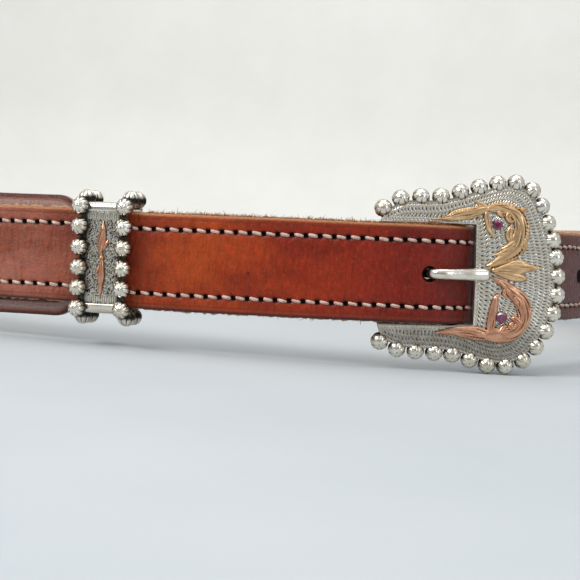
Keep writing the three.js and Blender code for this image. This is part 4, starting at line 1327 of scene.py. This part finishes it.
def metal_pieces():
    silver = metal("silver_fine", (0.87, 0.83, 0.75), (0.7, 0.64, 0.52), (0.03, 0.026, 0.02), 0.16, 260)
    gold = metal("gold_fine", (0.84, 0.58, 0.33), (0.6, 0.36, 0.18), (0.05, 0.02, 0.01), 0.25, 420)
    copper = metal("rose_gold_fine", (0.78, 0.43, 0.27), (0.55, 0.26, 0.16), (0.05, 0.014, 0.008), 0.25, 420)
    base = PLATE_TOP - 0.05
    keeper_base = KEEPER_FRONT + BAND_THICK - 0.05
    # Columns: name, form, frame, metal, node and slot
    rows = [
        ("buckle_plate", plate(), BUCKLE, silver, "buckle_frame", "silver"),
        ("buckle_beads", rim_beads(), BUCKLE, silver, "buckle_frame", "silver"),
        ("buckle_bar", bar_and_lugs(), BUCKLE, silver, "buckle_frame", "silver"),
        ("buckle_tongue", prong(), BUCKLE, silver, "buckle_prong", "silver"),
        ("leaf_scroll_upper", strokes(UPPER_SCROLL, base), BUCKLE, gold, "scroll_upper", "rose_gold"),
        ("leaf_scroll_lower", strokes(LOWER_SCROLL, base), BUCKLE, copper, "scroll_lower", "rose_gold"),
        ("leaf_center", strokes(CENTER_LEAF, base), BUCKLE, gold, "center_leaf", "rose_gold"),
        ("keeper_band", keeper_band(), KEEPER, silver, "keeper_loop", "silver"),
        ("keeper_beads", keeper_beads(), KEEPER, silver, "keeper_loop", "silver"),
        ("keeper_leaf_fine", strokes(KEEPER_LEAF, keeper_base), KEEPER, copper, "keeper_leaf", "rose_gold"),
    ]
    for name, pile, matrix, material, node, slot in rows:
        settle(pile.build(name, matrix, material, smooth=name != "buckle_bar"), [node])
    gem = gem_material()
    for name in ("stone_upper", "stone_lower"):
        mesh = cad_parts[name].data
        mesh.materials.clear()
        mesh.materials.append(gem)


# Stage, light and camera

FLOOR_END = 2.3
SWEEP = 0.3
SHEET = {"near": -3.5, "half": 4.5, "top": 3.0, "below": 0.0002}

# Lamps, with columns name, place, target, size, power and color
BELT_FRONT = (0.02, -0.12, 0.02)
LAMPS = [
    ("window", (-0.6, -0.75, 0.75), BELT_FRONT, (0.6, 0.45), 8, (1.0, 0.985, 0.96)),
    ("ceiling", (0.1, -0.05, 1.2), BELT_FRONT, (1.2, 0.9), 6.0, (1.0, 0.99, 0.98)),
    ("side", (0.8, -0.75, 0.35), BELT_FRONT, (0.3, 0.5), 1.2, (0.95, 0.97, 1.0)),
    ("wall_wash", (-0.3, 1.3, 1.5), (-0.4, 2.6, 0.3), (3.2, 0.6), 19, (1.0, 0.995, 0.98)),
]


def backdrop():
    """A pale sheet that sweeps up into a wall behind the belt."""
    profile = [(SHEET["near"], 0.0), (FLOOR_END, 0.0)]
    profile += [(FLOOR_END + SWEEP * math.sin(a), SWEEP - SWEEP * math.cos(a))
                for a in steps(0, math.pi / 2, 12)[1:]]
    profile += [(FLOOR_END + SWEEP, SHEET["top"])]
    sides = (-SHEET["half"], SHEET["half"])
    points = [(x, y, z - SHEET["below"]) for y, z in profile for x in sides]
    faces = [(2 * i, 2 * i + 1, 2 * i + 3, 2 * i + 2) for i in range(len(profile) - 1)]
    mesh = bpy.data.meshes.new("backdrop")
    mesh.from_pydata(points, [], faces)
    mesh.polygons.foreach_set("use_smooth", [True] * len(mesh.polygons))
    mesh.materials.append(stage_material())
    sheet = bpy.data.objects.new("backdrop", mesh)
    bpy.context.scene.collection.objects.link(sheet)


def area_light(name, place_at, target, size, power, color):
    light = bpy.data.lights.new(name, "AREA")
    light.shape = "RECTANGLE"
    light.size, light.size_y = size
    light.energy = power
    light.color = color
    lamp = bpy.data.objects.new(name, light)
    lamp.location = place_at
    lamp.rotation_euler = (Vector(target) - Vector(place_at)).to_track_quat("-Z", "Y").to_euler()
    bpy.context.scene.collection.objects.link(lamp)


def lights():
    """The lamps, and a cool white sky that is stronger above and behind the belt."""
    for lamp in LAMPS:
        area_light(*lamp)
    world = bpy.data.worlds.new("studio")
    world.use_nodes = True
    sky = Nodes(world.node_tree)
    parts = sky.node("SeparateXYZ", {0: sky.node("TexCoord").outputs["Generated"]}).outputs
    behind = sky.node("MapRange", {0: parts[1], 1: -0.9, 2: 0.3, 3: 0.2, 4: 0.7}).outputs[0]
    above = sky.node("MapRange", {0: parts[2], 1: 0.05, 2: 0.6, 4: 0.7}).outputs[0]
    stronger = sky.node("Math", {0: behind, 1: above}, operation="MAXIMUM").outputs[0]
    background = sky.tree.nodes["Background"]
    background.inputs[0].default_value = (0.97, 0.985, 1.0, 1)
    sky.set(background.inputs[1], stronger)
    bpy.context.scene.world = world
    bpy.context.scene.view_settings.view_transform = "Standard"


# The camera of the photograph, found from the places of the beads and the stitch rows in it
CAMERA_AT = (0.07655, -0.46755, 0.03894)
CAMERA_YAW, CAMERA_PITCH, CAMERA_ROLL = -6.574 * DEGREES, 3.509 * DEGREES, 3.926 * DEGREES
FOCAL_PIXELS = 1300
FRAME_PIXELS = 580
SENSOR = 36


def camera():
    yaw, pitch, roll = CAMERA_YAW, CAMERA_PITCH, CAMERA_ROLL
    forward = Vector((math.sin(yaw) * math.cos(pitch), math.cos(yaw) * math.cos(pitch), -math.sin(pitch)))
    level = Vector((math.cos(yaw), -math.sin(yaw), 0))
    upright = level.cross(forward)
    right = level * math.cos(roll) + upright * math.sin(roll)
    up = -level * math.sin(roll) + upright * math.cos(roll)
    lens = bpy.data.cameras.new("camera")
    lens.sensor_fit = "HORIZONTAL"
    lens.sensor_width = SENSOR
    lens.lens = FOCAL_PIXELS * SENSOR / FRAME_PIXELS
    lens.clip_start = 0.01
    view = bpy.data.objects.new("camera", lens)
    turned = Matrix((right, up, -forward)).transposed().to_4x4()
    view.matrix_world = Matrix.Translation(CAMERA_AT) @ turned
    bpy.context.scene.collection.objects.link(view)
    bpy.context.scene.camera = view


leather_pieces()
metal_pieces()
backdrop()
lights()
camera()
